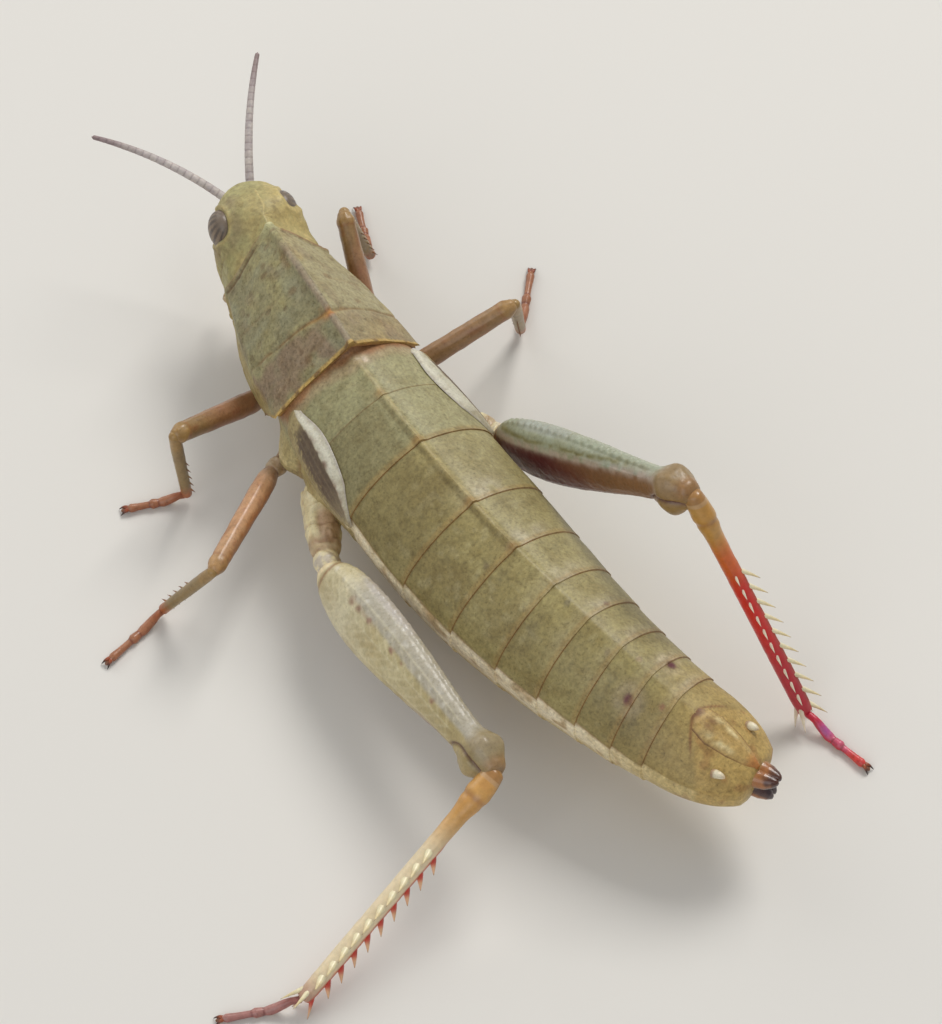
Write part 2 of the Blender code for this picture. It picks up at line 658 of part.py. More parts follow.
def stand_on_origin():
    """Moves the animal so that the middle of its outline on the ground is the origin."""
    bpy.context.view_layer.update()
    graph = bpy.context.evaluated_depsgraph_get()
    corners = []
    for piece in PARTS.objects:
        ready = piece.evaluated_get(graph)
        mesh = ready.to_mesh()
        corners += [ready.matrix_world @ vertex.co for vertex in mesh.vertices]
        ready.to_mesh_clear()
    for axis in (0, 1):
        values = [corner[axis] for corner in corners]
        AXES.location[axis] = -0.5 * (min(values) + max(values))


for old in list(bpy.data.objects):
    bpy.data.objects.remove(old, do_unlink=True)
PARTS = bpy.data.collections.new("grasshopper")
CUTTERS = bpy.data.collections.new("cutters")
bpy.context.scene.collection.children.link(PARTS)
bpy.context.scene.collection.children.link(CUTTERS)
CUTTERS.hide_render = True
AXES = bpy.data.objects.new("grasshopper_axes", None)
bpy.context.scene.collection.objects.link(AXES)
build_head()
build_antennae()
build_palps()
build_pronotum()
build_sternum()
build_metathorax()
build_tegmina()
build_abdomen()
build_tail()
build_legs()
stand_on_origin()
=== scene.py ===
"""The looks of a female stone grasshopper at life size.

Lengths are in millimetres and angles in degrees until a mesh is made. A point on the body is
given as (station, distance to the animal's left, height above the ground). Stations run back
along the body's midline from the tip of the head.
"""

import itertools
import math

import bpy
import numpy as np
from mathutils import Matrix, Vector


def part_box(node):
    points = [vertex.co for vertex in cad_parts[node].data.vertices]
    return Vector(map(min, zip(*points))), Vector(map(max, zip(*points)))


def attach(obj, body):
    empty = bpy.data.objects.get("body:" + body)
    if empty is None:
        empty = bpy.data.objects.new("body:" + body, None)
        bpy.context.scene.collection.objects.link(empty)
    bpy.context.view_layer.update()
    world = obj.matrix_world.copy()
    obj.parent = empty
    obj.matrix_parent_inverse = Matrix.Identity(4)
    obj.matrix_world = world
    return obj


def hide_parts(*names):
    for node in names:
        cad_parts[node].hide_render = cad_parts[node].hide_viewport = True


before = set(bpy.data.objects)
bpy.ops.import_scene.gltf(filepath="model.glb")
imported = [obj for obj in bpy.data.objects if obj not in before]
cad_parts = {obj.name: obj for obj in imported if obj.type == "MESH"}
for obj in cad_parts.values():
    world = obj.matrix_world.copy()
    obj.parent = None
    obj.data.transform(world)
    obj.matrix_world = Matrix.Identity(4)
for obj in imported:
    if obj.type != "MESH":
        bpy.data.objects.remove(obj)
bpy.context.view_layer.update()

MM = 0.001
UP = np.array([0.0, 0.0, 1.0])

# ---------------------------------------------------------------- the body's driving sizes
VEER = ((0, 18), (8, 11), (15, 7), (30, 1), (45, -8), (53, -16), (62, -24))
PATH_STEP, PATH_ZERO = 0.25, 30.0
TRUNK = (
    (6.0, 12.0, 8.4, 3.6, 3.6, 0.0),
    (14.0, 13.0, 8.6, 3.2, 4.9, 0.0),
    (18.0, 13.3, 8.6, 3.0, 5.4, 0.1),
    (22.0, 13.3, 8.5, 2.8, 5.9, 0.2),
    (26.7, 13.3, 8.4, 2.5, 6.1, 0.3),
    (32.8, 13.2, 8.2, 2.2, 6.15, 0.3),
    (37.4, 13.1, 8.0, 2.1, 5.9, 0.25),
    (41.3, 13.0, 7.9, 2.1, 5.5, 0.15),
    (44.7, 12.8, 7.8, 2.3, 5.1, 0.05),
    (47.7, 12.4, 7.7, 2.6, 4.75, 0.0),
    (50.4, 11.7, 7.5, 2.9, 4.5, 0.0),
    (52.7, 11.0, 7.4, 3.3, 4.25, 0.0),
    (55.5, 10.0, 7.2, 3.6, 3.9, 0.0),
    (57.6, 9.0, 7.0, 4.2, 3.25, 0.0),
    (59.4, 8.0, 6.8, 5.0, 2.1, 0.0),
)
BACK_POINT, BACK_ROUND = 1.5, 0.62
BELLY_POINT, BELLY_ROUND = 2.6, 0.5
NECK_LEVEL, TAIL_LEVEL = 7.6, 6.6
TRUNK_START, TRUNK_STEP, RING_STEP, TRUNK_COLUMNS = 4.8, 0.18, 0.155, 101
NO_RING, NO_FRONT = -1, 9.0
TERGITE_ENDS = (22.0, 26.7, 32.8, 37.4, 41.3, 44.7, 47.7, 50.4, 52.7)
TAIL_END = 58.8

PRONOTUM = (
    (0.0, 13.0, 4.0, 6.0),
    (0.12, 13.6, 4.2, 5.5),
    (0.4, 14.5, 5.0, 5.2),
    (0.7, 14.8, 5.5, 5.4),
    (1.0, 14.5, 5.8, 5.9),
)
PRONOTUM_FRONT, PRONOTUM_REAR, PRONOTUM_WIDEST = 5.2, 17.9, 9.0
PRONOTUM_POINT, PRONOTUM_ROUND = 1.12, 0.86
EDGE_SLOPE, LOBE_SLOPE, LOBE_DEPTH, LOBE_TUCK = 0.11, 0.65, 3.0, 0.92
SHIELD_THICK, SHIELD_ROWS, SHIELD_COLUMNS = 0.3, 150, 160
GROOVE = 14.9

HEAD = (
    (3.0, 4.7, 6.3, 1.2, 2.4),
    (3.8, 4.0, 6.6, 2.2, 2.6),
    (5.0, 2.9, 6.2, 3.0, 2.8),
    (6.5, 2.0, 5.5, 3.4, 2.8),
    (8.0, 1.2, 5.4, 3.48, 2.6),
    (9.3, 0.6, 5.3, 3.42, 2.3),
    (10.2, 0.1, 5.1, 3.3, 2.1),
    (10.8, -0.25, 5.0, 3.2, 2.0),
    (11.3, 0.0, 4.9, 3.0, 2.0),
    (11.9, 0.75, 4.85, 2.65, 2.0),
    (12.45, 1.9, 4.8, 2.05, 2.0),
    (12.9, 3.3, 4.7, 1.1, 2.0),
)
EYE_SINK, EYE_STRIPES = {1: 0.46, -1: 0.82}, 25.0
HIND_SHIN = (
    (0.0, 0.95, 0.74, 0.92),
    (0.03, 1.0, 0.78, 0.96),
    (0.07, 0.88, 0.72, 0.86),
    (0.14, 0.66, 0.62, 0.64),
    (0.5, 0.58, 0.6, 0.58),
    (0.94, 0.54, 0.62, 0.54),
    (1.0, 0.45, 0.5, 0.45),
)
HEAD_MIDDLE, HEAD_BACK_POINT = 0.6, 3.0
EYE_SOLID = (2.45, 2.95, 10.4)
EYE_PLACE, EYE_RADII, EYE_LEAN = (2.6, 2.95, 10.25), (1.0, 1.38, 1.78), 12.0

ANTENNA_BASE, ANTENNA_LENGTH = (0.1, 0.55, 8.7), 11.7
ANTENNA_BEARING = {"left": 19.0, "right": -31.0}
ANTENNA_RISE = {"left": 18.0, "right": 20.0}
ANTENNA_BEND = {"left": 21.0, "right": -16.0}
ANTENNA_DROOP = 12.0
ANTENNA_SEGMENTS = 21
ANTENNA_SIZES = ((0.0, 0.05, 0.09, 0.5, 0.8, 1.0), (0.4, 0.38, 0.31, 0.27, 0.22, 0.16))

PALP_ROUTE = ((4.5, 1.6, 4.0), (4.0, 2.75, 3.35), (3.2, 2.85, 2.6), (2.5, 2.25, 2.25))
PALP_RADIUS = 0.24

TEGMEN_TOP = ((18.3, 10.5), (21.0, 11.0), (24.0, 10.6), (26.2, 9.7), (27.2, 8.8))
TEGMEN_BOTTOM = ((18.3, 8.8), (21.0, 7.8), (24.0, 7.5), (26.2, 7.9), (27.2, 8.5))

EPIPROCT_FRONT, EPIPROCT_LENGTH = 54.0, 5.2
EPIPROCT_HALVES = ((0.0, 0.08, 0.3, 0.6, 0.85, 1.0), (0.5, 1.05, 1.3, 1.05, 0.6, 0.16))
VALVE_STEPS = (0, 0.45, 0.7, 0.88, 0.97, 1)
VALVE_TALL, VALVE_WIDE = (0.7, 0.7, 0.6, 0.38, 0.18, 0.05), (0.68, 0.7, 0.62, 0.4, 0.18, 0.05)
VALVES = {"upper": ((59.15, 7.2), (60.8, 7.3)), "lower": ((59.15, 5.9), (60.5, 5.7))}
CERCUS_PLACE = ((56.6, 8.5), (58.3, 8.3))

LENGTHS = {"fore": (9.7, 7.8, 3.6), "mid": (10.8, 7.4, 4.6), "hind": (21.4, 20.0, 4.6)}
COXA_ROOT = {"fore": (12.1, 2.4, 3.8), "mid": (17.0, 2.8, 4.0), "hind": (22.0, 5.5, 5.4)}
COXA_GIRTH = {"fore": 0.85, "mid": 0.95, "hind": 1.22}
ANKLE = {"fore": 0.8, "mid": 0.8, "hind": 1.25}
KNEE_GAP = {"fore": 1.0, "mid": 0.95, "hind": 1.35}
COXA_SIZES = {
    True: ((0, 0.25, 0.5, 0.68, 0.8, 0.9, 1.0), (1.1, 1.16, 1.12, 1.02, 0.84, 0.84, 0.66)),
    False: ((0, 0.3, 0.6, 0.74, 0.86, 1.0), (0.9, 1.08, 0.95, 0.72, 0.8, 0.7)),
}
TARSUS_SIZES = (
    (0, 0.08, 0.3, 0.385, 0.42, 0.52, 0.575, 0.62, 0.8, 0.95, 1.0),
    (0.28, 0.33, 0.38, 0.3, 0.33, 0.38, 0.26, 0.25, 0.27, 0.33, 0.24),
)
CLAW_LENGTH, CLAW_RADIUS, CLAW_SWING, CLAW_STEPS = 0.82, 0.17, 28.0, 14
TARSUS_START = {"fore": 0.65, "mid": 0.65, "hind": 0.9}
TARSUS_LEVEL, TARSUS_JOINTS = 0.34, (0.4, 0.58)
GAP = 0.3
SIDES = ((1, "left"), (-1, "right"))
LEGS = {
    "fore_left": dict(hip=(12.6, 4.3, 4.1), femur=(98, 27.5), tibia=-119, tarsus=66, roll=0),
    "fore_right": dict(hip=(12.2, 4.95, 3.7), femur=(22, 28), tibia=90, tarsus=25, roll=0),
    "mid_left": dict(hip=(18.4, 7.0, 4.8), femur=(121, 12.5), tibia=41, tarsus=99, roll=0),
    "mid_right": dict(hip=(15.8, 3.9, 3.7), femur=(103, 22), tibia=49, tarsus=46, roll=0),
    "hind_left": dict(hip=(27.6, 8.7, 6.0), femur=(176, 7.5), tibia=98, tarsus=64, roll=38),
    "hind_right": dict(hip=(25.6, 7.5, 6.0), femur=(171, 34), tibia=169, tarsus=171, roll=-4),
}
HIND_FEMUR = (
    (0.0, 0.8, 0.85, 0.8),
    (0.05, 1.55, 1.1, 1.7),
    (0.18, 2.1, 1.35, 2.4),
    (0.35, 2.15, 1.35, 2.4),
    (0.55, 1.85, 1.2, 1.9),
    (0.75, 1.4, 1.0, 1.3),
    (0.86, 1.3, 0.95, 1.2),
    (0.94, 1.45, 1.1, 1.4),
    (1.0, 0.9, 0.8, 0.9),
)
WALKING_FEMUR = (
    (0.0, 0.5, 0.5, 0.5),
    (0.1, 0.86, 0.74, 0.86),
    (0.5, 0.84, 0.72, 0.84),
    (0.86, 0.74, 0.66, 0.74),
    (0.95, 0.7, 0.62, 0.7),
    (1.0, 0.52, 0.48, 0.52),
)
WALKING_TIBIA = (
    (0.0, 0.44, 0.42, 0.44),
    (0.08, 0.47, 0.44, 0.47),
    (0.6, 0.42, 0.4, 0.42),
    (1.0, 0.38, 0.38, 0.38),
)
SPINES = {1: 9, -1: 10}
SPINE_LENGTH, SPINE_RADIUS, SPINE_SPREAD, SPINE_SLANT = 1.15, 0.26, 38.0, 32.0
SPINES_FROM, SPINES_TO = 0.27, 0.93
SPINE_CHANGES = {
    ("left", True): (0.95, 14, 6, 1.2),
    ("left", False): (0.95, 10, 6, 1.2),
    ("right", True): (1.15, 8, 10, 0.8),
    ("right", False): (0.6, -8, 22, 0.6),
}
SPUR_LENGTH, SPUR_PLACE, SPUR_RADIUS = 1.4, 0.97, 0.2
WALKING_SPINE = (0.42, 120, 45, 0.1)
KNEE_LOBE, CONDYLE_ROWS = (0.915, -1.5), 14
SPUR_TURNS = ((60.0, 55.0), (130.0, 60.0))


# ---------------------------------------------------------------- curves, noise and colour
def along(table, place):
    """Smooth curves through the table's rows, read at every place: one array for each column."""
    rows = np.array(table, float)
    xs, ys = rows[:, 0], rows[:, 1:]
    place = np.clip(np.asarray(place, float), xs[0], xs[-1])
    low = np.maximum(np.arange(len(xs)) - 1, 0)
    high = np.minimum(np.arange(len(xs)) + 1, len(xs) - 1)
    slopes = (ys[high] - ys[low]) / (xs[high] - xs[low])[:, None]
    k = np.clip(np.searchsorted(xs, place, side="right") - 1, 0, len(xs) - 2)
    step = (xs[k + 1] - xs[k])[..., None]
    t = (place - xs[k])[..., None] / step
    value = (
        (2 * t**3 - 3 * t**2 + 1) * ys[k] + (t**3 - 2 * t**2 + t) * slopes[k] * step
        + (3 * t**2 - 2 * t**3) * ys[k + 1] + (t**3 - t**2) * slopes[k + 1] * step
    )
    return np.moveaxis(value, -1, 0)


def midline():
    """Points along the body's midline, seen from above, PATH_STEP apart."""
    middles = (np.arange(int(VEER[-1][0] / PATH_STEP)) + 0.5) * PATH_STEP
    veer = np.radians(along(VEER, middles)[0])
    steps = PATH_STEP * np.stack([np.sin(veer), np.cos(veer)], -1)
    points = np.vstack([np.zeros((1, 2)), np.cumsum(steps, axis=0)])
    return points - points[int(PATH_ZERO / PATH_STEP)]


MIDLINE = midline()


def loose_body(station, left, height):
    """The place of points on a body whose midline starts at MIDLINE's own origin."""
    station, left, height = np.broadcast_arrays(
        np.asarray(station, float), np.asarray(left, float), np.asarray(height, float))
    k = np.clip((station / PATH_STEP).astype(int), 0, len(MIDLINE) - 1)
    veer = np.radians(along(VEER, station)[0])
    ahead = station - k * PATH_STEP
    x = MIDLINE[k, 0] + ahead * np.sin(veer) + left * np.cos(veer)
    y = MIDLINE[k, 1] + ahead * np.cos(veer) - left * np.sin(veer)
    return np.stack([x, y, height], -1)


EYE_LOW, EYE_HIGH = (np.array(corner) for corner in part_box("eye_left"))
SHIFT = 0.5 * (EYE_LOW + EYE_HIGH) / MM - loose_body(*EYE_SOLID)
SHIFT[2] = 0.0


def body(station, left, height):
    """The place of points on the body, in the row's axes."""
    return loose_body(station, left, height) + SHIFT


def ramp(value, low, high):
    """0 below low, 1 above high, and smooth between them."""
    t = np.clip((np.asarray(value, float) - low) / (high - low), 0.0, 1.0)
    return t * t * (3 - 2 * t)


def fade(value, low, high):
    """1 below low, 0 above high, and smooth between them."""
    return 1 - ramp(value, low, high)


def bell(value, middle, width):
    """1 at the middle, falling to nothing at about twice the width from it."""
    return np.exp(-(((value - middle) / width) ** 2))


def hashed(cell):
    """A fixed number from -1 to 1 for each cell of a grid."""
    n = (cell[..., 0] * 73856093) ^ (cell[..., 1] * 19349663) ^ (cell[..., 2] * 83492791)
    n = (n ^ (n >> 13)) * 1274126177
    return ((n ^ (n >> 16)) & 0xFFFF) / 32767.5 - 1.0


def cloud(points, size):
    """Soft noise from -1 to 1, whose blotches are about this many millimetres wide."""
    spot = np.asarray(points) / size
    cell = np.floor(spot).astype(np.int64)
    t = spot - cell
    t = t * t * (3 - 2 * t)
    total = 0.0
    for corner in itertools.product((0, 1), repeat=3):
        weight = np.prod(np.where(np.array(corner) == 1, t, 1 - t), axis=-1)
        total = total + weight * hashed(cell + np.array(corner))
    return total


def rgb(red, green, blue):
    """A display colour, from 0 to 255, as the linear colour that shaders use."""
    value = np.array([red, green, blue]) / 255.0
    return np.where(value <= 0.04045, value / 12.92, ((value + 0.055) / 1.055) ** 2.4)


def turns(count):
    """Angles all round a circle, at equal steps."""
    return np.linspace(0, 2 * math.pi, count, endpoint=False)


def normalized(vectors):
    return vectors / np.linalg.norm(vectors, axis=-1, keepdims=True)


def flat(points, color):
    """A coat of one colour for every point of a grid."""
    return np.broadcast_to(color, points.shape[:-1] + (3,)).astype(float).copy()


def mix(coat, color, share):
    """The coat with this share of a linear colour, or of another coat, over it."""
    return coat + (np.asarray(color) - coat) * np.asarray(share)[..., None]


def painted(coat, *layers):
    """The coat under layers of paint, each given as (red, green, blue, share)."""
    for *color, share in layers:
        coat = mix(coat, rgb(*color), share)
    return coat


def two_tone(points, first, second, share):
    """A coat that goes from one display colour to another."""
    return mix(flat(points, rgb(*first)), rgb(*second), share)


# ---------------------------------------------------------------- meshes
class Shape:
    """Closed surfaces that make one piece. Each is a grid of points with a colour at each."""

    def __init__(self, *grid):
        self.grids = []
        if grid:
            self.add(*grid)

    def add(self, points, coat):
        coat = flat(points, coat) if np.ndim(coat) == 1 else coat
        self.grids.append((np.asarray(points, float), coat))

    def cells(self):
        """Where each grid lies on the UV map. The first has most of it."""
        if len(self.grids) == 1:
            return [(0.0, 0.0, 1.0, 1.0)]
        side = math.ceil(math.sqrt(len(self.grids) - 1))
        found = [(0.0, 0.4, 1.0, 1.0)]
        for i in range(len(self.grids) - 1):
            column, row = i % side, i // side
            found.append((column / side, 0.38 * row / side, (column + 0.9) / side,
                          0.38 * (row + 0.9) / side))
        return found

    def mesh(self, name):
        points, coats, faces, maps, first = [], [], [], [], 0
        for (grid, coat), (left, low, right, high) in zip(self.grids, self.cells()):
            rows, cols = grid.shape[:2]
            near = first + np.arange(rows * cols).reshape(rows, cols)
            far = np.roll(near, -1, axis=1)
            quads = np.stack([near[:-1], far[:-1], far[1:], near[1:]], -1).reshape(-1, 4)
            i, j = np.meshgrid(np.arange(rows - 1), np.arange(cols), indexing="ij")
            u = np.stack([j, j + 1, j + 1, j], -1).reshape(-1, 4) / cols
            v = np.stack([i, i, i + 1, i + 1], -1).reshape(-1, 4) / (rows - 1)
            flat_points = grid.reshape(-1, 3)
            middle = flat_points.mean(axis=0)
            a, b, c, d = (flat_points[quads[:, k] - first] - middle for k in range(4))
            volume = (np.einsum("ij,ij->", a, np.cross(b, c))
                      + np.einsum("ij,ij->", a, np.cross(c, d)))
            rings = [near[0][::-1], near[-1]]
            ring_u = [np.arange(cols)[::-1] / cols, np.arange(cols) / cols]
            if volume < 0:
                quads, u, v = quads[:, ::-1], u[:, ::-1], v[:, ::-1]
                rings, ring_u = [ring[::-1] for ring in rings], [ring[::-1] for ring in ring_u]
            faces += quads.tolist() + [ring.tolist() for ring in rings]
            u = np.concatenate([u.ravel(), *ring_u])
            v = np.concatenate([v.ravel(), np.zeros(cols), np.ones(cols)])
            maps.append(np.stack([left + u * (right - left), low + v * (high - low)], -1))
            points.append(flat_points)
            coats.append(coat.reshape(-1, 3))
            first += rows * cols
        made = bpy.data.meshes.new(name)
        made.from_pydata((np.concatenate(points) * MM).tolist(), [], faces)
        chart = made.uv_layers.new(name="OFBake")
        chart.data.foreach_set("uv", np.concatenate(maps).ravel())
        paint = made.color_attributes.new("coat", "FLOAT_COLOR", "POINT")
        colors = np.concatenate(coats)
        paint.data.foreach_set("color", np.column_stack([colors, np.ones(len(colors))]).ravel())
        return made


def make(name, shape, finish, slot, *nodes, sharp=50.0):
    """One piece of the animal, which stands for the named nodes."""
    mesh = shape.mesh(name)
    mesh.materials.append(finish)
    mesh.shade_smooth()
    mesh.set_sharp_from_angle(angle=math.radians(sharp))
    piece = bpy.data.objects.new(name, mesh)
    bpy.context.scene.collection.objects.link(piece)
    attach(piece, "root")
    if nodes:
        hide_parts(*nodes)
    return piece


def finish(name, rough=0.5, speckle=0.16, speckle_size=0.35, mottle=0.35, mottle_size=1.1,
           dots=0.0, dot_size=0.22, grain=0.012, grain_size=0.14, gloss=0.0):
    """A shell material: its mesh's own coat of colour, with blotches, stipple and grain."""
    made = bpy.data.materials.new(name)
    made.use_nodes = True
    tree = made.node_tree

    def plug(target, inputs):
        """Give inputs of a node their values, or link them to what feeds them."""
        for key, value in inputs.items():
            if isinstance(value, bpy.types.NodeSocket):
                tree.links.new(value, target.inputs[key])
            else:
                target.inputs[key].default_value = value

    def node(kind, output, inputs, **settings):
        new = tree.nodes.new("ShaderNode" + kind)
        for key, value in settings.items():
            setattr(new, key, value)
        plug(new, inputs)
        return new.outputs[output]

    def sum_of(value, factor, extra):
        scaled = node("Math", 0, {0: value, 1: factor}, operation="MULTIPLY")
        return node("Math", 0, {0: scaled, 1: extra}, operation="ADD")

    def noise(size, detail):
        return node("TexNoise", "Fac", {
            "Scale": 1.0 / size, "Detail": detail, "Roughness": 0.62, "Vector": place})

    def darker(color, source, low, high, share, tint):
        """The colour times a tint, where the noise is high."""
        span = node("MapRange", "Result", {
            "From Min": low, "From Max": high, "To Max": share, "Value": source})
        return node("Mix", "Result", {"B": (*tint, 1.0), "Factor": span, "A": color},
                    data_type="RGBA", blend_type="MULTIPLY")

    space = node("TexCoord", "Object", {})
    place = node("VectorMath", 0, {0: space, 1: (1.0 / MM,) * 3}, operation="MULTIPLY")
    coat = node("Attribute", "Color", {}, attribute_name="coat")
    centred = node("Math", 0, {0: noise(speckle_size, 5.0), 1: 0.5}, operation="SUBTRACT")
    level = sum_of(centred, 4 * speckle, 1.0 + 0.12 * mottle)
    color = node("VectorMath", 0, {0: coat, "Scale": level}, operation="SCALE")
    color = darker(color, noise(mottle_size, 4.0), 0.46, 0.66, mottle, (0.62, 0.56, 0.42))
    if dots:
        color = darker(color, noise(dot_size, 2.0), 0.55, 0.68, dots, (0.42, 0.36, 0.26))
    fine = noise(grain_size, 3.0)
    relief = node("Bump", "Normal", {"Strength": 1.0, "Distance": grain * MM, "Height": fine})
    plug(tree.nodes["Principled BSDF"], {
        "Base Color": color, "Roughness": sum_of(fine, 0.25, rough - 0.12), "Normal": relief,
        "Coat Weight": gloss, "Coat Roughness": 0.22, "Subsurface Weight": 0.06,
        "Subsurface Radius": (0.0006, 0.0004, 0.0002), "Subsurface Scale": 1.0})
    return made


ABDOMEN = finish("abdomen_cuticle", speckle=0.32, speckle_size=0.26, mottle=0.5, dots=0.4)
SHIELD = finish("shield_cuticle", rough=0.56, speckle=0.34, speckle_size=0.3, mottle=0.55,
                mottle_size=0.9, dots=0.5, grain=0.035, grain_size=0.2)
FACE = finish("head_cuticle", speckle=0.28, speckle_size=0.32, mottle=0.35, mottle_size=0.8,
              dots=0.25, dot_size=0.18, grain=0.02)
EYE = finish("eye_surface", rough=0.42, speckle=0.14, speckle_size=0.2, mottle=0.15, grain=0.006,
             grain_size=0.06, gloss=0.18)
FEELER = finish("feeler_cuticle", speckle=0.2, speckle_size=0.25, mottle=0.2)
WING = finish("wing_leather", speckle=0.2, speckle_size=0.18, mottle=0.15, dots=0.3, dot_size=0.2,
              grain=0.02)
GLOSSY = finish("leg_cuticle", rough=0.36, speckle=0.2, mottle_size=0.8, dots=0.3, gloss=0.2)
FEMUR = finish("femur_cuticle", rough=0.4, mottle=0.25, mottle_size=0.9, dots=0.25, dot_size=0.2,
               gloss=0.25)
SHIN = finish("tibia_cuticle", rough=0.36, speckle=0.14, speckle_size=0.4, mottle=0.12, gloss=0.35)
VALVE = finish("valve_horn", rough=0.3, speckle=0.2, speckle_size=0.4, mottle=0.3, gloss=0.5)


# ---------------------------------------------------------------- the trunk's skin
def shield_lean(height):
    """How far the shield's rear edge moves back at a height, from where its keel ends."""
    lobe = np.clip(PRONOTUM_WIDEST - height, 0.0, LOBE_DEPTH)
    return -EDGE_SLOPE * (PRONOTUM[-1][1] - height) - LOBE_SLOPE * lobe


def flank(station, height):
    """The trunk's half width at a height on its side."""
    top, widest, belly, half, _ = along(TRUNK, station)
    up = np.clip((height - widest) / (top - widest), 0.0, 1.0)
    down = np.clip((widest - height) / (widest - belly), 0.0, 1.0)
    above = half * (1 - up ** (1 / BACK_ROUND)) ** (1 / BACK_POINT)
    below = half * (1 - down ** (1 / BELLY_ROUND)) ** (1 / BELLY_POINT)
    return np.where(height >= widest, above, below)


def trunk_rows(stations, halves):
    """Half sections from keel to belly.

    The arrays are left, height, outward left, outward up and the distance from the keel.
    """
    turn = np.linspace(0.0, math.pi, 241)
    across = np.sin(turn)
    found = []
    for station in stations:
        top, widest, belly, half, _ = along(TRUNK, station)
        above = widest + (top - widest) * (1 - across**BACK_POINT) ** BACK_ROUND
        below = widest - (widest - belly) * (1 - across**BELLY_POINT) ** BELLY_ROUND
        height = np.where(turn <= math.pi / 2, above, below)
        left = half * across
        run = np.concatenate([[0.0], np.cumsum(np.hypot(np.diff(left), np.diff(height)))])
        reach = halves * run[-1]
        left, height = np.interp(reach, run, left), np.interp(reach, run, height)
        lean, drop = np.gradient(left, reach), np.gradient(height, reach)
        size = np.hypot(lean, drop)
        found.append((left, height, -drop / size, lean / size, reach))
    return [np.array(values) for values in zip(*found)]


def trunk_stations():
    """Rows down the trunk.

    The arrays are the station, its distance behind its ring's front and before its rear, and
    the ring's number. The thorax has no ring, and its rows are far behind any ring's front.
    """
    thorax_end = TERGITE_ENDS[0]
    gaps = list(thorax_end - np.arange(TRUNK_START, thorax_end - 0.3, TRUNK_STEP))
    rows = [(thorax_end - gap, NO_FRONT, gap, NO_RING)
            for gap in gaps + [0.22, 0.13, 0.08, 0.045, 0.015]]
    edges = TERGITE_ENDS + (TAIL_END,)
    for number, (start, end) in enumerate(zip(edges, edges[1:])):
        length = end - start
        middle = np.linspace(0.16, length - 0.2, int(length / RING_STEP))
        for ahead in np.concatenate([[0.015, 0.05, 0.09], middle,
                                     length - np.array([0.13, 0.08, 0.045, 0.015])]):
            rows.append((start + ahead, ahead, length - ahead, number))
    return [np.array(values) for values in zip(*rows)]


# Spots on the back: station, distance from the keel, size, colour and strength.
BACK_SPOTS = (
    (50.62, -2.0, 0.5, (92, 36, 54), 0.95),
    (50.05, 2.3, 0.5, (100, 40, 52), 0.95),
    (44.4, -2.1, 0.32, (104, 72, 72), 0.7),
    (52.1, 1.2, 0.28, (140, 88, 72), 0.6),
    (36.8, 2.3, 0.34, (100, 84, 64), 0.6),
    (42.8, 0.2, 0.3, (112, 104, 84), 0.6),
    (47.2, 0.9, 0.34, (120, 104, 84), 0.5),
    (49.0, -0.3, 0.3, (150, 120, 96), 0.5),
)


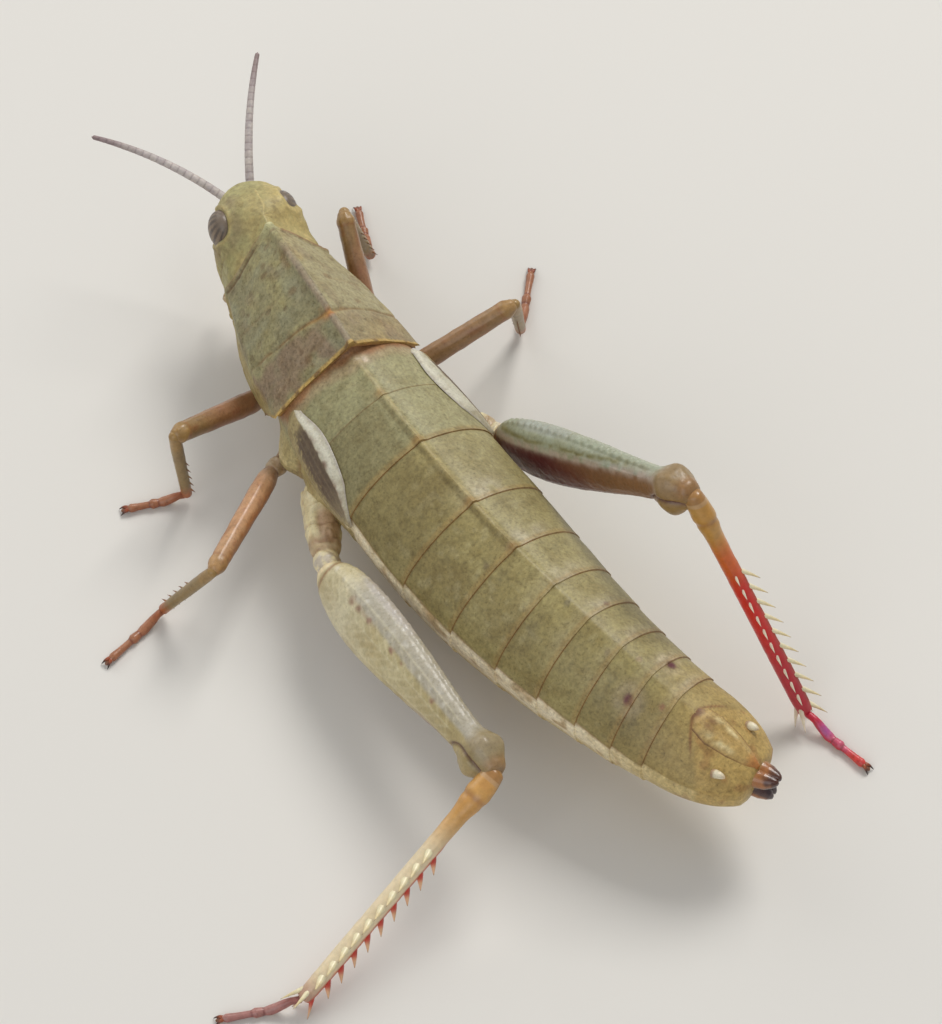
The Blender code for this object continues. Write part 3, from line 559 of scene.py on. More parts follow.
def build_trunk():
    stations, fronts, rears, numbers = trunk_stations()
    halves = np.linspace(0.0, 1.0, TRUNK_COLUMNS)
    left, height, out_left, out_up, reach = trunk_rows(stations, halves)
    sides = [np.concatenate([values, sign * values[:, -2:0:-1]], axis=1) for values, sign in
             ((left, -1), (height, 1), (out_left, -1), (out_up, 1), (reach, -1))]
    left, height, out_left, out_up, reach = sides
    station = np.repeat(stations[:, None], left.shape[1], axis=1)
    front, rear, number = fronts[:, None], rears[:, None], numbers[:, None]
    share = front / (front + rear)
    points = body(station, left, height)
    ring = number != NO_RING
    last = number == len(TERGITE_ENDS) - 1
    _, widest, _, _, keel = along(TRUNK, station)
    blotch, fine = cloud(points, 2.2), cloud(points + 40, 0.7)
    off = np.abs(reach)

    push = np.where(ring & ~last, 0.035 * (2 * share - 1) + 0.015 * fade(rear, 0.1, 0.35),
                    0.0)
    push = push - 0.05 * last * fade(front, 0.0, 2.0)
    push = push + keel * bell(reach, 0.0, 0.3) * np.where(ring, 0.7 + 0.4 * share, 1.0)
    push = push - 0.05 * bell(off, 2.5, 0.6) * bell(share, 0.3, 0.14) * ring
    fold_height = widest + 0.5 - 0.3 * share
    below_fold = ramp(fold_height - height, -0.05, 0.1) * ring
    push = push - 0.09 * bell(height, fold_height - 0.03, 0.12) * ring
    push = push + 0.07 * bell(height, fold_height - 0.9, 0.6) * ring * ramp(share, 0.05, 0.3)
    push = push - 0.12 * bell(height, 4.9, 0.2) * ring
    chest = (1.3 * bell(station, 18.9, 1.8) * bell(height, 6.2, 1.3)
             + bell(station, 22.7, 1.6) * bell(height, 5.9, 1.4))
    folds = cloud(points * (0.5, 0.5, 1.9), 0.85)
    ripple = bell((height * 1.9 + 0.5 * station + 0.7 * folds) % 1.0, 0.5, 0.17)
    side = (fade(height, 6.7, 7.6) * fade(station, 25.5, 27.0)
            * ramp(station, 16.0, 18.0) * (height > 3.6))
    push = push + 1.15 * chest + side * (0.12 * folds - 0.09 * ripple)
    seam = (bell(station + 0.35 * (height - 6.5), 20.6, 0.16) * fade(height, 8.0, 8.6)
            * ramp(height, 3.6, 4.4))
    push = push - 0.28 * seam + 0.03 * blotch
    crease = bell(station - 0.9 * off, 22.6, 0.1) * ramp(off, 0.3, 0.9) * fade(off, 1.5, 2.2)
    push = push - 0.03 * crease
    push = (push + 0.7 * bell(reach, 0.0, 1.0) * fade(station, 17.1, 17.9)
            * ramp(station, 9.0, 11.0))
    neck = 1 - 0.36 * fade(station, 5.2, 7.4) - 0.03 * bell(station, 6.0, 0.15)
    points = body(station, (left + push * out_left) * neck,
                  NECK_LEVEL + (height + push * out_up - NECK_LEVEL) * neck)

    coat = two_tone(points, (144, 131, 82), (164, 152, 102), ramp(blotch + 0.6 * fine, -0.6, 1.5))
    coat = painted(
        coat,
        (130, 114, 68, 0.5 * ramp(-blotch, 0.0, 0.9) * ring),
        (150, 148, 112, 0.75 * fade(station, 25.7, 27.2)),
    )
    # Painted light: the back right of the keel is painted lighter, as if lit from the right.
    right = ramp(-reach, 0.0, 0.2)
    fleck = cloud(points + 77, 0.45)
    coat = painted(
        coat,
        (110, 98, 60, 0.38 * ramp(fleck + 0.4 * blotch, 0.2, 0.8)),
        (184, 175, 134, 0.3 * ramp(cloud(points + 55, 0.5) - 0.3 * blotch, 0.3, 0.9)),
        (166, 158, 118, 0.4 * right),
        (152, 139, 88, 0.5 * ramp(station, 36.0, 50.0)),
        (114, 101, 60, 0.45 * ramp(reach, 0.2, 1.6) * fade(station, 30.0, 35.0) * ring),
        (170, 146, 88, 0.8 * ramp(station, 49.5, 54.5)),
        (112, 94, 44, 0.4 * ramp(reach, 0.4, 2.0) * bell(station, 51.0, 2.6)),
    )
    place = ramp(station, 26.5, 30.0) * fade(station, 53.0, 54.5) * ring
    strength = place * ramp(share, 0.5, 0.92) * ramp(fine + 0.5 * blotch, -1.1, 0.3)
    coat = painted(
        coat,
        (192, 182, 162, 0.5 * strength * bell(reach, -1.7, 1.9)),
        (172, 160, 124, 0.35 * strength * bell(reach, 2.2, 1.6) * ramp(station, 36, 42)),
        (96, 88, 62, 0.3 * place * bell(share, 0.25, 0.16) * bell(off, 3.0, 1.6)
         * ramp(fine, -0.2, 0.5)),
    )
    ridge = bell(reach, -0.1, 0.15) * ramp(keel, 0.02, 0.2) * fade(station, 34.0, 40.0)
    coat = painted(
        coat,
        (178, 160, 106, 0.65 * ridge * ramp(fine, -1.4, 0.0)),
        (108, 92, 52, 0.5 * bell(reach, 0.3, 0.2) * fade(station, 34.0, 40.0) * (station > 22)),
    )
    mark = bell(reach, 0.12, 0.4) * bell(rear, 0.3, 0.3) * (number <= 2)
    coat = mix(coat, rgb(150, 112, 60), 0.65 * mark)
    for at, aside, size, color, depth in BACK_SPOTS:
        away = np.hypot((station - at) * 1.25, reach - aside) + 0.14 * fine
        coat = mix(coat, rgb(196, 178, 150), 0.3 * depth * bell(away, 0.9, 0.5) * (size > 0.4)
                   * ramp(fine, -1.0, 0.2))
        coat = mix(coat, rgb(*color), depth * fade(away, 0.45 * size, 1.25 * size))
    line = np.maximum(fade(front, 0.01, 0.07), fade(rear, 0.02, 0.09))
    line = line * np.where(ring | (rear < 0.3), 1.0, 0.0) * np.where(last & (rear < 1.0), 0.0, 1.0)
    on_back = np.where(station > 40, 0.3 + 0.7 * ramp(off, 0.8, 2.6), 1.0)
    line = line * ramp(fine, -2.2, -0.2) * on_back * np.where(station < 23, 0.45, 1.0)
    coat = painted(
        coat,
        (138, 100, 54, 0.7 * line * (1 - 0.6 * below_fold)),
        (158, 128, 74, 0.5 * bell(rear, 0.22, 0.14) * ring * ~last),
        (198, 178, 124, below_fold),
    )
    fresh = (below_fold * ramp(height, fold_height - 2.6, fold_height - 1.6)
             * ramp(fine + 0.4 * blotch, -1.3, 0.1))
    coat = painted(
        coat,
        (230, 218, 188, fresh * fade(station, 46.0, 55.0)),
        (160, 124, 88, 0.5 * below_fold * ramp(-fine - 0.3 * blotch, 0.15, 0.7)),
        (146, 104, 68, 0.45 * bell(height, fold_height, 0.1) * ring * fade(station, 50.0, 53.0)),
        (124, 88, 54, 0.6 * bell(height, 4.9, 0.15) * ring),
    )
    arch = (bell(station - 0.42 * np.abs(left) ** 1.3, EPIPROCT_FRONT - 0.05, 0.13)
            * (height > 7.4) * fade(off, 1.8, 3.0))
    coat = mix(coat, rgb(124, 78, 42), 0.85 * arch * ramp(off, 0.0, 0.4))
    inside = ramp(station - 0.42 * np.abs(left) ** 1.3 - EPIPROCT_FRONT, 0.0, 0.5) * (height > 6.0)
    coat = painted(
        coat,
        (184, 154, 90, 0.75 * inside),
        (150, 106, 60, 0.5 * inside * ramp(fine - 0.3 * blotch, 0.15, 0.6)),
    )
    behind = station - (PRONOTUM_REAR + shield_lean(height))
    coat = painted(
        coat,
        (164, 142, 108, 0.7 * fade(behind + 0.4 * blotch, 0.8, 1.5) * (station < 21)
         * (height > 8)),
        (150, 102, 62, 0.85 * fade(behind + 0.25 * fine, 0.2, 0.75) * (station < 21)
         * ramp(station, 13.5, 15.0)),
        (224, 206, 184, 0.8 * bell(behind, 0.95, 0.28) * bell(reach, -0.5, 1.1)
         * ramp(fleck, 0.0, 0.4)),
        (172, 156, 106, 0.9 * fade(height, 7.5, 8.2) * (station < 27.2)),
        # Painted highlight on the tops of the side folds; the brown below is the seam's own
        # colour, and painted shade in the fold grooves.
        (214, 198, 150, 0.6 * side * ramp(folds, 0.0, 0.7) * (1 - ripple)),
        (132, 92, 60, 0.75 * np.maximum(seam, side * ripple * ramp(-folds, -0.5, 0.5))),
        (204, 180, 120, 0.7 * fade(height, 4.0, 4.8)),
        (142, 108, 74, 0.8 * fade(station, 6.4, 7.2)),
    )
    back = body(TAIL_END + 1, 0, 0) - body(TAIL_END, 0, 0)
    middle = body(TAIL_END, 0.0, TAIL_LEVEL)
    end = [middle + (points[-1] - middle) * grow + back * depth
           for grow, depth in ((0.93, 0.22), (0.75, 0.42), (0.45, 0.54), (0.12, 0.58))]
    points = np.concatenate([points, np.array(end)])
    coat = np.concatenate([coat, np.repeat(coat[-1:], 4, axis=0)])
    rings = [f"abdomen_{k + 1}" for k in range(len(TERGITE_ENDS))]
    make("trunk_skin", Shape(points, coat), ABDOMEN, "abdomen", "metathorax", "sternum", *rings)


# ---------------------------------------------------------------- the shield
def shield_roof(top, half, left):
    """Height of the shield's roof at a distance from its keel."""
    aside = np.clip(np.abs(left) / half, 0.0, 1.0)
    return (PRONOTUM_WIDEST + (top - PRONOTUM_WIDEST)
            * (1 - aside**PRONOTUM_POINT) ** PRONOTUM_ROUND)


# Spots on the shield: station, distance from the keel and size.
SHIELD_SPOTS = ((11.5, 1.1, 0.5), (11.0, -1.9, 0.4), (13.4, -3.0, 0.35), (8.6, 1.9, 0.35),
                (16.3, 2.6, 0.4))


def build_pronotum():
    shares = np.concatenate([[0.0, 0.004, 0.012, 0.022], np.linspace(0.03, 0.962, SHIELD_ROWS),
                             [0.972, 0.98, 0.988, 0.994, 1.0]])
    top, half, low = along(PRONOTUM, shares)
    sides = np.linspace(1, -1, SHIELD_COLUMNS)
    across = np.sign(sides) * (1 - (1 - np.abs(sides)) ** 1.15)
    lobe = np.linspace(0.0, 1.0, 30)[:-1]
    left = [half[:, None] * (LOBE_TUCK + (1 - LOBE_TUCK) * ramp(lobe, -0.4, 1.0)),
            half[:, None] * across]
    height = [low[:, None] + (PRONOTUM_WIDEST - low[:, None]) * lobe,
              shield_roof(top[:, None], half[:, None], left[1])]
    left = np.concatenate([left[0], left[1], -left[0][:, ::-1]], axis=1)
    height = np.concatenate([height[0], height[1], height[0][:, ::-1]], axis=1)
    share = np.repeat(shares[:, None], left.shape[1], axis=1)
    keel = bell(left, 0.0, 0.25)
    shoulder = np.clip(np.abs(left) / half[:, None], 0.0, 1.0)
    bow = 0.35 * np.sin(math.pi * shoulder) * (height > 8.0) + 0.75 * fade(height, 9.6, 12.4)
    front = PRONOTUM_FRONT + EDGE_SLOPE * (PRONOTUM[0][1] - height) + bow
    rear = PRONOTUM_REAR + shield_lean(height)
    station = front + share * (rear - front)
    out_left, out_up = np.gradient(height, axis=1), -np.gradient(left, axis=1)
    size = np.hypot(out_left, out_up)
    out_left, out_up = out_left / size, out_up / size
    flip = np.where(out_up.mean() < 0, -1.0, 1.0)
    out_left, out_up = flip * out_left, flip * out_up
    points = body(station, left, height)
    blotch, fine = cloud(points, 1.8), cloud(points + 17, 0.6)
    groove_at = (GROOVE - 0.33 * np.abs(left) + 0.04 * left**2 * (left < 0)
                 + 0.1 * cloud(points + 30, 1.0))
    groove = bell(station, groove_at, 0.14) * ramp(height, 8.4, 9.6)
    second = (bell(station, groove_at - 3.3 + 0.1 * np.abs(left), 0.14)
              * ramp(np.abs(left), 1.5, 2.6))
    rim = (bell(share, 1.0, 0.016) + 1.2 * bell(share, 0.006, 0.016)
           - 1.2 * bell(share, 0.038, 0.012))
    pits = bell(cloud(points + 60, 0.5), 0.8, 0.25)
    push = 0.3 * keel * (1 - 0.55 * bell(station, GROOVE, 0.25)) + 0.06 * rim
    push = (push - 0.1 * groove - 0.03 * second + 0.06 * blotch * (1 - keel) + 0.025 * fine
            - 0.03 * pits)
    push = push + 0.05 * bell(height, PRONOTUM_WIDEST + 0.2, 0.35) * ramp(share, 0.05, 0.2)
    push = push + 0.06 * (height < low[:, None] + 0.3)
    outer = body(station, left + push * out_left, height + push * out_up)
    inner = body(station, left - SHIELD_THICK * out_left, height - SHIELD_THICK * out_up)
    points = np.concatenate([outer, inner[:, ::-1]], axis=1)

    coat = two_tone(outer, (138, 132, 98), (156, 148, 104), ramp(blotch + 0.5 * fine, -0.6, 1.2))
    coat = mix(coat, rgb(150, 150, 122), 0.45 * ramp(cloud(outer + 25, 0.9), 0.0, 0.7))
    # Painted light: the shield's right panel is painted paler, as if lit from the right.
    on_right = ramp(-left, 0.0, 0.25) * ramp(height, 8.6, 9.4)
    coat = painted(
        coat,
        (166, 155, 118, 0.75 * on_right),
        (138, 116, 82, 0.35 * on_right * ramp(station - groove_at, 0.0, 0.6)),
        (170, 144, 92, 0.4 * on_right * ramp(blotch, 0.2, 0.7)),
    )
    behind = ramp(station - groove_at, 0.0, 0.6)
    brown = ramp(cloud(outer + 11, 1.3) + 0.5 * fine, -0.7, 0.5)
    coat = painted(
        coat,
        (136, 112, 92, 0.75 * behind * brown * (1 - 0.45 * on_right)),
        (128, 108, 84, 0.35 * (1 - behind) * ramp(cloud(outer + 3, 1.0), 0.2, 0.7)),
        (170, 150, 92, 0.7 * fade(height, 7.5, 9.0)),
        (150, 132, 114, 0.75 * bell(left, 0.05, 0.13) * ramp(share, 0.14, 0.3)),
        (130, 100, 58, 0.5 * bell(left, 0.45, 0.2) * ramp(share, 0.05, 0.15)
         * ramp(blotch + fine, -0.2, 0.6)),
        (132, 100, 60, 0.75 * groove * ramp(fine, -1.2, 0.2) + 0.25 * second),
        (194, 116, 44, 0.7 * bell(station, 15.0, 0.3) * bell(left, 0.05, 0.35)),
        (186, 140, 72, 0.6 * bell(station, groove_at + 0.1, 0.16) * bell(left, 0.4, 1.1)),
        (194, 192, 146, 0.9 * bell(share, 0.0, 0.06) * bell(left, 0.0, 0.5)),
        (150, 98, 56, (0.35 + 0.5 * on_right) * bell(share, 0.0, 0.016)
         * ramp(np.abs(left), 0.5, 1.0) * ramp(height, 8.0, 9.5)),
        # Painted shadow: a dark line behind the front rim on the left shoulder.
        (104, 76, 46, 0.75 * bell(share, 0.034, 0.012) * ramp(left, 0.6, 2.0)
         * ramp(height, 8.4, 9.2)),
    )
    for at, aside, size in SHIELD_SPOTS:
        away = np.hypot(station - at, left - aside) + 0.12 * fine
        coat = mix(coat, rgb(118, 88, 52), 0.55 * fade(away, 0.1, size))
    coat = mix(coat, rgb(98, 70, 42), 0.5 * pits * ramp(blotch, -0.4, 0.4))
    edge = ramp(share, 0.974, 0.984)
    coat = painted(
        coat,
        (188, 156, 84, 0.9 * edge * ramp(height, 7.2, 8.4)),
        (112, 82, 48, 0.85 * edge * ramp(cloud(outer + 5, 0.5), 0.1, 0.5)),
    )
    lining = two_tone(inner, (148, 124, 84), (160, 114, 70), ramp(share, 0.5, 0.9))
    coat = np.concatenate([coat, lining], axis=1)
    make("shield", Shape(points, coat), SHIELD, "pronotum", "pronotum", sharp=70.0)


# ---------------------------------------------------------------- the head
def eye_axes():
    """Across, along and up axes of an eye, as rows."""
    turn, lean = -math.radians(float(along(VEER, EYE_PLACE[0])[0])), -math.radians(EYE_LEAN)
    spin = np.array([[math.cos(turn), -math.sin(turn), 0], [math.sin(turn), math.cos(turn), 0],
                     [0, 0, 1]])
    tilt = np.array([[1, 0, 0], [0, math.cos(lean), -math.sin(lean)],
                     [0, math.sin(lean), math.cos(lean)]])
    return (spin @ tilt).T


EYE_AXES = eye_axes()
EYE_CENTRE = {side: body(EYE_PLACE[0], side * (EYE_PLACE[1] - EYE_SINK[side]), EYE_PLACE[2])
              for side in (1, -1)}


def eye_reach(points, side):
    """How far points are from an eye's centre, as a multiple of its own surface."""
    local = (points - EYE_CENTRE[side]) @ EYE_AXES.T
    return np.linalg.norm(local / np.array(EYE_RADII), axis=-1)


CROWN_POINT = (4.3, 0.0, 13.0)
# The three small eyes on the face: distance to the left, height and size.
OCELLI = ((0.0, 7.95, 0.16), (1.4, 10.1, 0.17), (-1.4, 10.1, 0.17))


def build_head():
    rows, cols = 210, 230
    t = np.linspace(0.0, 1.0, rows)
    chin, crown = HEAD[0][0], HEAD[-1][0]
    height = chin + (crown - chin) * (0.45 * t + 0.55 * np.sin(math.pi / 2 * t))
    front, rear, half, point = along(HEAD, height)
    rear = rear + 2.5 * ramp(height, 4.6, 6.6)
    angle = turns(cols)
    ahead, aside = np.cos(angle)[None], np.sin(angle)[None]
    middle = (front + HEAD_MIDDLE * (np.minimum(rear, 6.6) - front))[:, None]
    power = np.where(ahead > 0, point[:, None], HEAD_BACK_POINT)
    size = (np.abs(ahead) ** power + np.abs(aside) ** power) ** (-1 / power)
    reach = np.where(ahead > 0, middle - front[:, None], rear[:, None] - middle)
    forward = size * ahead * reach
    station = middle - forward
    left = half[:, None] * size * aside
    height = np.repeat(height[:, None], cols, axis=1)
    roof = shield_roof(*PRONOTUM[0][1:3], left)
    above = height - roof + 0.22
    height = height - ramp(station, 2.4, 5.7) * 0.5 * (above + np.hypot(above, 0.35))
    left = left * (1 + 0.09 * ramp(station, 4.8, 6.4))
    points = body(station, left, height)
    out = normalized(points - body(middle, 0.0, height))
    out[..., 2] += 1.1 * ramp(height, 11.0, 12.4) - 0.5 * fade(height, 3.2, 4.2)
    out = normalized(out)
    fore = ramp(size * ahead, 0.05, 0.35)
    wide, fine = cloud(points, 1.6), cloud(points + 9, 0.45)

    off = np.abs(left)
    costa_half = 0.36 + 0.12 * bell(height, 9.4, 1.2) - 0.1 * bell(height, 7.6, 0.7)
    costa = bell(off, costa_half, 0.1) * ramp(height, 5.1, 6.0) * fade(height, 10.4, 10.9) * fore
    trough = bell(off, 0.0, 0.26) * ramp(height, 5.6, 6.6) * fade(height, 10.2, 10.7) * fore
    hub = np.hypot(left - np.sign(left) * 0.72, height - 8.75)
    socket, socket_rim = bell(hub, 0.0, 0.32) * fore, bell(hub, 0.5, 0.12) * fore
    cheek_line = (bell(off, 2.35 + 0.12 * (8.5 - height), 0.12) * ramp(height, 4.9, 5.6)
                  * fade(height, 8.1, 8.7) * fore)
    clypeus = bell(height, 5.0 + 0.1 * off, 0.1) * fade(off, 2.3, 2.6) * fore
    clypeus_low = bell(height, 4.3, 0.08) * fade(off, 1.5, 1.8) * fore
    labrum_side = bell(off, 1.45, 0.1) * fade(height, 4.15, 4.35) * fore
    labrum_notch = bell(left, 0.0, 0.14) * fade(height, 3.4, 3.9) * fore
    jaw = bell(np.hypot(off - 2.2, height - 4.4), 0.75, 0.1) * fore
    carinula = bell(left, -0.42, 0.07) * ramp(height, 12.1, 12.4)
    brow = bell(height, 11.35, 0.2) * ramp(size * ahead, 0.3, 0.7) * fade(off, 1.5, 2.0)
    eyes = np.minimum(eye_reach(points, 1), eye_reach(points, -1))
    under_eye = (bell(station, 1.9 + 0.1 * (8.4 - height), 0.13) * fade(height, 8.3, 8.7)
                 * ramp(height, 4.8, 5.4))
    under_eye = under_eye * ramp(off, 2.6, 3.0)
    seam = (bell(station, 4.6 - 0.1 * (9 - height), 0.1) * fade(height, 9.5, 10.5)
            * ramp(height, 4.5, 5.5) * ramp(off, 2.6, 3.0))
    push = 0.2 * costa - 0.12 * trough - 0.32 * socket + 0.12 * socket_rim + 0.14 * cheek_line
    push = (push - 0.16 * clypeus - 0.12 * clypeus_low - 0.09 * labrum_side - 0.14 * labrum_notch
            - 0.08 * jaw)
    push = (push + 0.04 * carinula + 0.08 * brow + 0.05 * wide + 0.02 * fine - 0.11 * under_eye
            - 0.07 * seam)
    push = push - 0.05 * bell(cloud(points + 31, 0.42), 0.85, 0.2) * fade(height, 10.6, 11.6)
    lip = fade(off, 1.25, 1.45) * fade(height, 4.15, 4.3) * fore
    plate = fade(off, 1.6, 1.9) * fade(height, 4.75, 4.9) * ramp(height, 4.3, 4.42) * fore
    mandible = bell(np.hypot((off - 2.15) * 1.1, height - 4.15), 0.0, 0.62) * fore
    push = push + 0.16 * lip * (1 - 0.5 * bell(height, 3.4, 0.2)) + 0.07 * plate + 0.2 * mandible
    push = push + 0.1 * bell(eyes, 1.16, 0.09) - 0.32 * fade(eyes, 0.78, 1.08)
    points = points + out * push[..., None]

    coat = two_tone(points, (152, 144, 94), (164, 148, 94), ramp(wide + 0.5 * fine, -0.5, 1.0))
    coat = painted(
        coat,
        (146, 138, 88, 0.6 * ramp(-wide, 0.0, 0.8)),
        (172, 144, 82, 0.45 * ramp(station, 3.0, 5.0) * ramp(height, 9.0, 11.0)
         * ramp(wide + 0.3 - 0.1 * left, -0.4, 0.6)),
        (160, 156, 104, 0.6 * fade(station, 0.8, 2.4) * ramp(height, 10.0, 11.0)),
        (176, 154, 104, 0.6 * fade(height, 5.5, 7.5)),
    )
    for side, strength in ((1, 0.75), (-1, 0.3)):
        ring = eye_reach(points, side)
        near = side * left > 0
        coat = painted(
            coat,
            (110, 88, 56, 0.75 * strength * near * ramp(station, 2.0, 3.4)
             * bell(ring, 1.42, 0.28) * ramp(fine + wide, -1.1, 0.2)),
            (128, 112, 76, 0.8 * strength * near * bell(ring, 1.45, 0.28)
             * ramp(height, 11.0, 12.0) * ramp(fine, -0.8, 0.3)),
            (188, 162, 100, 0.6 * near * bell(ring, 1.14, 0.06)),
        )
        smudge = np.linalg.norm(points - body(1.7, side * 1.5, 12.1), axis=-1) + 0.2 * fine
        coat = mix(coat, rgb(116, 98, 70), (0.7 if side > 0 else 0.3) * fade(smudge, 0.2, 0.8))
    coat = painted(
        coat,
        (188, 178, 132, 0.25 * ramp(height, 9.5, 11.5)),
        (204, 182, 118, 0.5 * ramp(-left, 0.3, 1.8) * ramp(height, 9.0, 11.0)),
    )
    dots = cloud(points + 71, 0.3)
    coat = painted(
        coat,
        (112, 96, 56, 0.3 * ramp(dots + 0.5 * wide, 0.25, 0.85) * ramp(height, 8.0, 10.0)),
        (186, 176, 124, 0.3 * ramp(-dots, 0.3, 0.9) * ramp(height, 8.0, 10.0)),
        (198, 180, 124, 0.75 * carinula),
        (128, 102, 62,
         0.7 * np.maximum.reduce([clypeus, clypeus_low, labrum_side, jaw, under_eye, 0.6 * seam])),
        (186, 168, 116, 0.6 * np.maximum(costa, cheek_line)),
        (122, 104, 64, 0.4 * trough + 0.35 * bell(off, 2.7 + 0.12 * (8.5 - height), 0.16)
         * fade(height, 8.1, 8.7) * ramp(height, 5.0, 5.8) * fore),
        (112, 84, 56, 0.7 * socket),
        (190, 166, 118, 0.6 * lip),
        (150, 112, 70, 0.55 * mandible),
        (206, 176, 120, 0.6 * fade(height, 4.2, 5.0) * fore),
        (96, 62, 36, 0.8 * fade(height, 3.0, 3.35)),
    )
    cap = np.repeat(body(*CROWN_POINT)[None], cols, axis=0)
    lids = [points[-1] + (cap - points[-1]) * part + UP * rise
            for part, rise in ((0.35, 0.05), (0.7, 0.07), (0.97, 0.06))]
    base = points[0] + (points[0].mean(axis=0) - points[0]) * 0.6 - UP * 0.05
    points = np.concatenate([base[None], points, np.array(lids)])
    coat = np.concatenate([coat[:1], coat, np.repeat(coat[-1:], 3, axis=0)])
    shape = Shape(points, coat)
    for aside, high, size in OCELLI:
        row = int(np.argmin(np.abs(height[:, 0] - high)))
        column = int(np.argmin(np.abs(left[row] - aside) + 9 * (np.cos(angle) < 0)))
        add_bead(shape, points[row + 1, column], (size, size, size), rgb(190, 150, 92))
    make("head_shell", shape, FACE, "head", "head", sharp=60.0)


def ball(rows, cols, gap):
    """Unit vectors all over a ball, except for this angle round its poles."""
    tilt, turn = np.linspace(gap, math.pi - gap, rows)[:, None], turns(cols)[None]
    return np.stack([np.sin(tilt) * np.cos(turn), np.sin(tilt) * np.sin(turn),
                     np.cos(tilt) + 0 * turn], -1)


def add_bead(shape, centre, radii, color, axes=np.eye(3)):
    """A small closed ball, added to a piece."""
    shape.add(centre + (ball(10, 14, 0.02) * np.array(radii)) @ axes, color)


def build_eyes():
    for side, word in SIDES:
        unit = ball(100, 150, 0.01) * (side, 1, 1)
        x, y, z = np.moveaxis(unit, -1, 0)
        points = EYE_CENTRE[side] + (unit * np.array(EYE_RADII)) @ EYE_AXES
        wave = np.arctan2(y, side * x + 0.55) * EYE_STRIPES + 0.6 * cloud(unit * 3, 0.8)
        # Painted highlight: the stripes fade out at the top of each eye, where it is painted paler
        # and greyer.
        stripe = (ramp(np.sin(wave) + 0.5 * cloud(unit * 6, 0.7), -0.6, 0.8)
                  * fade(z, 0.72, 0.97) * ramp(z, -0.95, -0.65))
        coat = two_tone(points, (122, 102, 80), (58, 42, 34), 0.85 * stripe)
        coat = painted(
            coat,
            (110, 104, 98, 0.45 * ramp(z, 0.4, 0.95)),
            (84, 62, 48, 0.6 * ramp(-z, 0.4, 0.95)),
        )
        make(f"eye_{word}_globe", Shape(points, coat), EYE, "eye", f"eye_{word}")


# ---------------------------------------------------------------- round limbs along a path
def sweep(path, radii, cols=16, up=UP):
    """A closed tube along a path. radii has one row for each point: (across, upwards)."""
    path = np.asarray(path, float)
    ahead = normalized(np.gradient(path, axis=0))
    over = normalized(up - (ahead @ up)[:, None] * ahead)
    side = np.cross(over, ahead)
    turn = turns(cols)
    radii = np.asarray(radii, float)
    if radii.ndim == 1:
        radii = np.stack([radii, radii], -1)
    return (path[:, None] + side[:, None] * (radii[:, :1] * np.cos(turn))[..., None]
            + over[:, None] * (radii[:, 1:] * np.sin(turn))[..., None])


def build_antennae():
    rows, cols = ANTENNA_SEGMENTS * 9 + 1, 20
    share = np.linspace(0.0, 1.0, rows)
    sin = np.sin(turns(cols))
    for side, word in SIDES:
        bearing = np.radians(ANTENNA_BEARING[word] + ANTENNA_BEND[word] * share)
        rise = np.radians(ANTENNA_RISE[word] - ANTENNA_DROOP * share)
        steps = np.stack([np.sin(bearing) * np.cos(rise), -np.cos(bearing) * np.cos(rise),
                          np.sin(rise)], -1)
        steps = steps * ANTENNA_LENGTH / (rows - 1)
        base = body(ANTENNA_BASE[0], side * ANTENNA_BASE[1], ANTENNA_BASE[2])
        path = base + np.concatenate([np.zeros((1, 3)), np.cumsum(steps[:-1], axis=0)])
        path = np.concatenate([path[:1] - steps[:1] * 6 * np.array([[1.0], [0.5]]), path])
        here = np.concatenate([[0.0, 0.0], share])
        place = here * ANTENNA_SEGMENTS
        within = place - np.floor(place)
        joint = bell(within, 0.0, 0.09) + bell(within, 1.0, 0.09)
        radius = np.interp(here, *ANTENNA_SIZES)
        radius = radius * (1 - 0.07 * joint) * (1 - 0.85 * ramp(here, 0.985, 1.0))
        points = sweep(path, np.stack([radius * 1.04, radius * 0.96], -1), cols)
        below = ramp(-sin, -0.3, 0.6)[None]
        coat = two_tone(points, (176, 166, 164), (116, 82, 98), 0.8 * below)
        coat = painted(
            coat,
            (196, 188, 180, 0.6 * (1 - below) * ramp(cloud(points, 0.5), -0.3, 0.6)),
            (102, 80, 84, 0.45 * joint[:, None]),
            (196, 188, 156, 0.8 * fade(place, 0.8, 1.6)[:, None]),
            (112, 84, 86, 0.7 * ramp(here, 0.6, 1.0)[:, None]),
        )
        make(f"antenna_{word}_rings", Shape(points, coat), FEELER, "antenna",
             f"antenna_{word}", sharp=70.0)


def build_palps():
    for side, word in SIDES:
        shape = Shape()
        for shift, size, count in (((0.0, 0.0, 0.0), 1.0, 4), ((0.4, -1.2, 0.1), 0.75, 3)):
            route = [body(a + shift[0], side * (b + shift[1]), c + shift[2])
                     for a, b, c in PALP_ROUTE[:count]]
            knots = np.linspace(0, 1, len(route))
            share = np.linspace(0.0, 1.0, 40)
            path = np.stack([np.interp(share, knots, [p[k] for p in route]) for k in range(3)], -1)
            within = (share * (len(route) - 1)) % 1.0
            radius = size * PALP_RADIUS * (0.72 + 0.3 * np.sin(math.pi * within))
            radius = radius * (1 - 0.7 * ramp(share, 0.93, 1.0))
            points = sweep(path, radius, 12)
            coat = two_tone(points, (164, 138, 92), (112, 78, 52),
                            0.7 * (1 - np.sin(math.pi * within))[:, None] ** 3)
            shape.add(points, coat)
        make(f"palp_{word}_joints", shape, GLOSSY, "walking_leg", f"palp_{word}")


# ---------------------------------------------------------------- wings
def proud_of_flank(station, height, side, proud):
    """Points at a distance outside the trunk's flank."""
    slant = (flank(station, height + 0.2) - flank(station, height - 0.2)) / 0.4
    size = np.hypot(1.0, slant)
    return body(station, side * (flank(station, height) + proud / size),
                height - proud * slant / size)


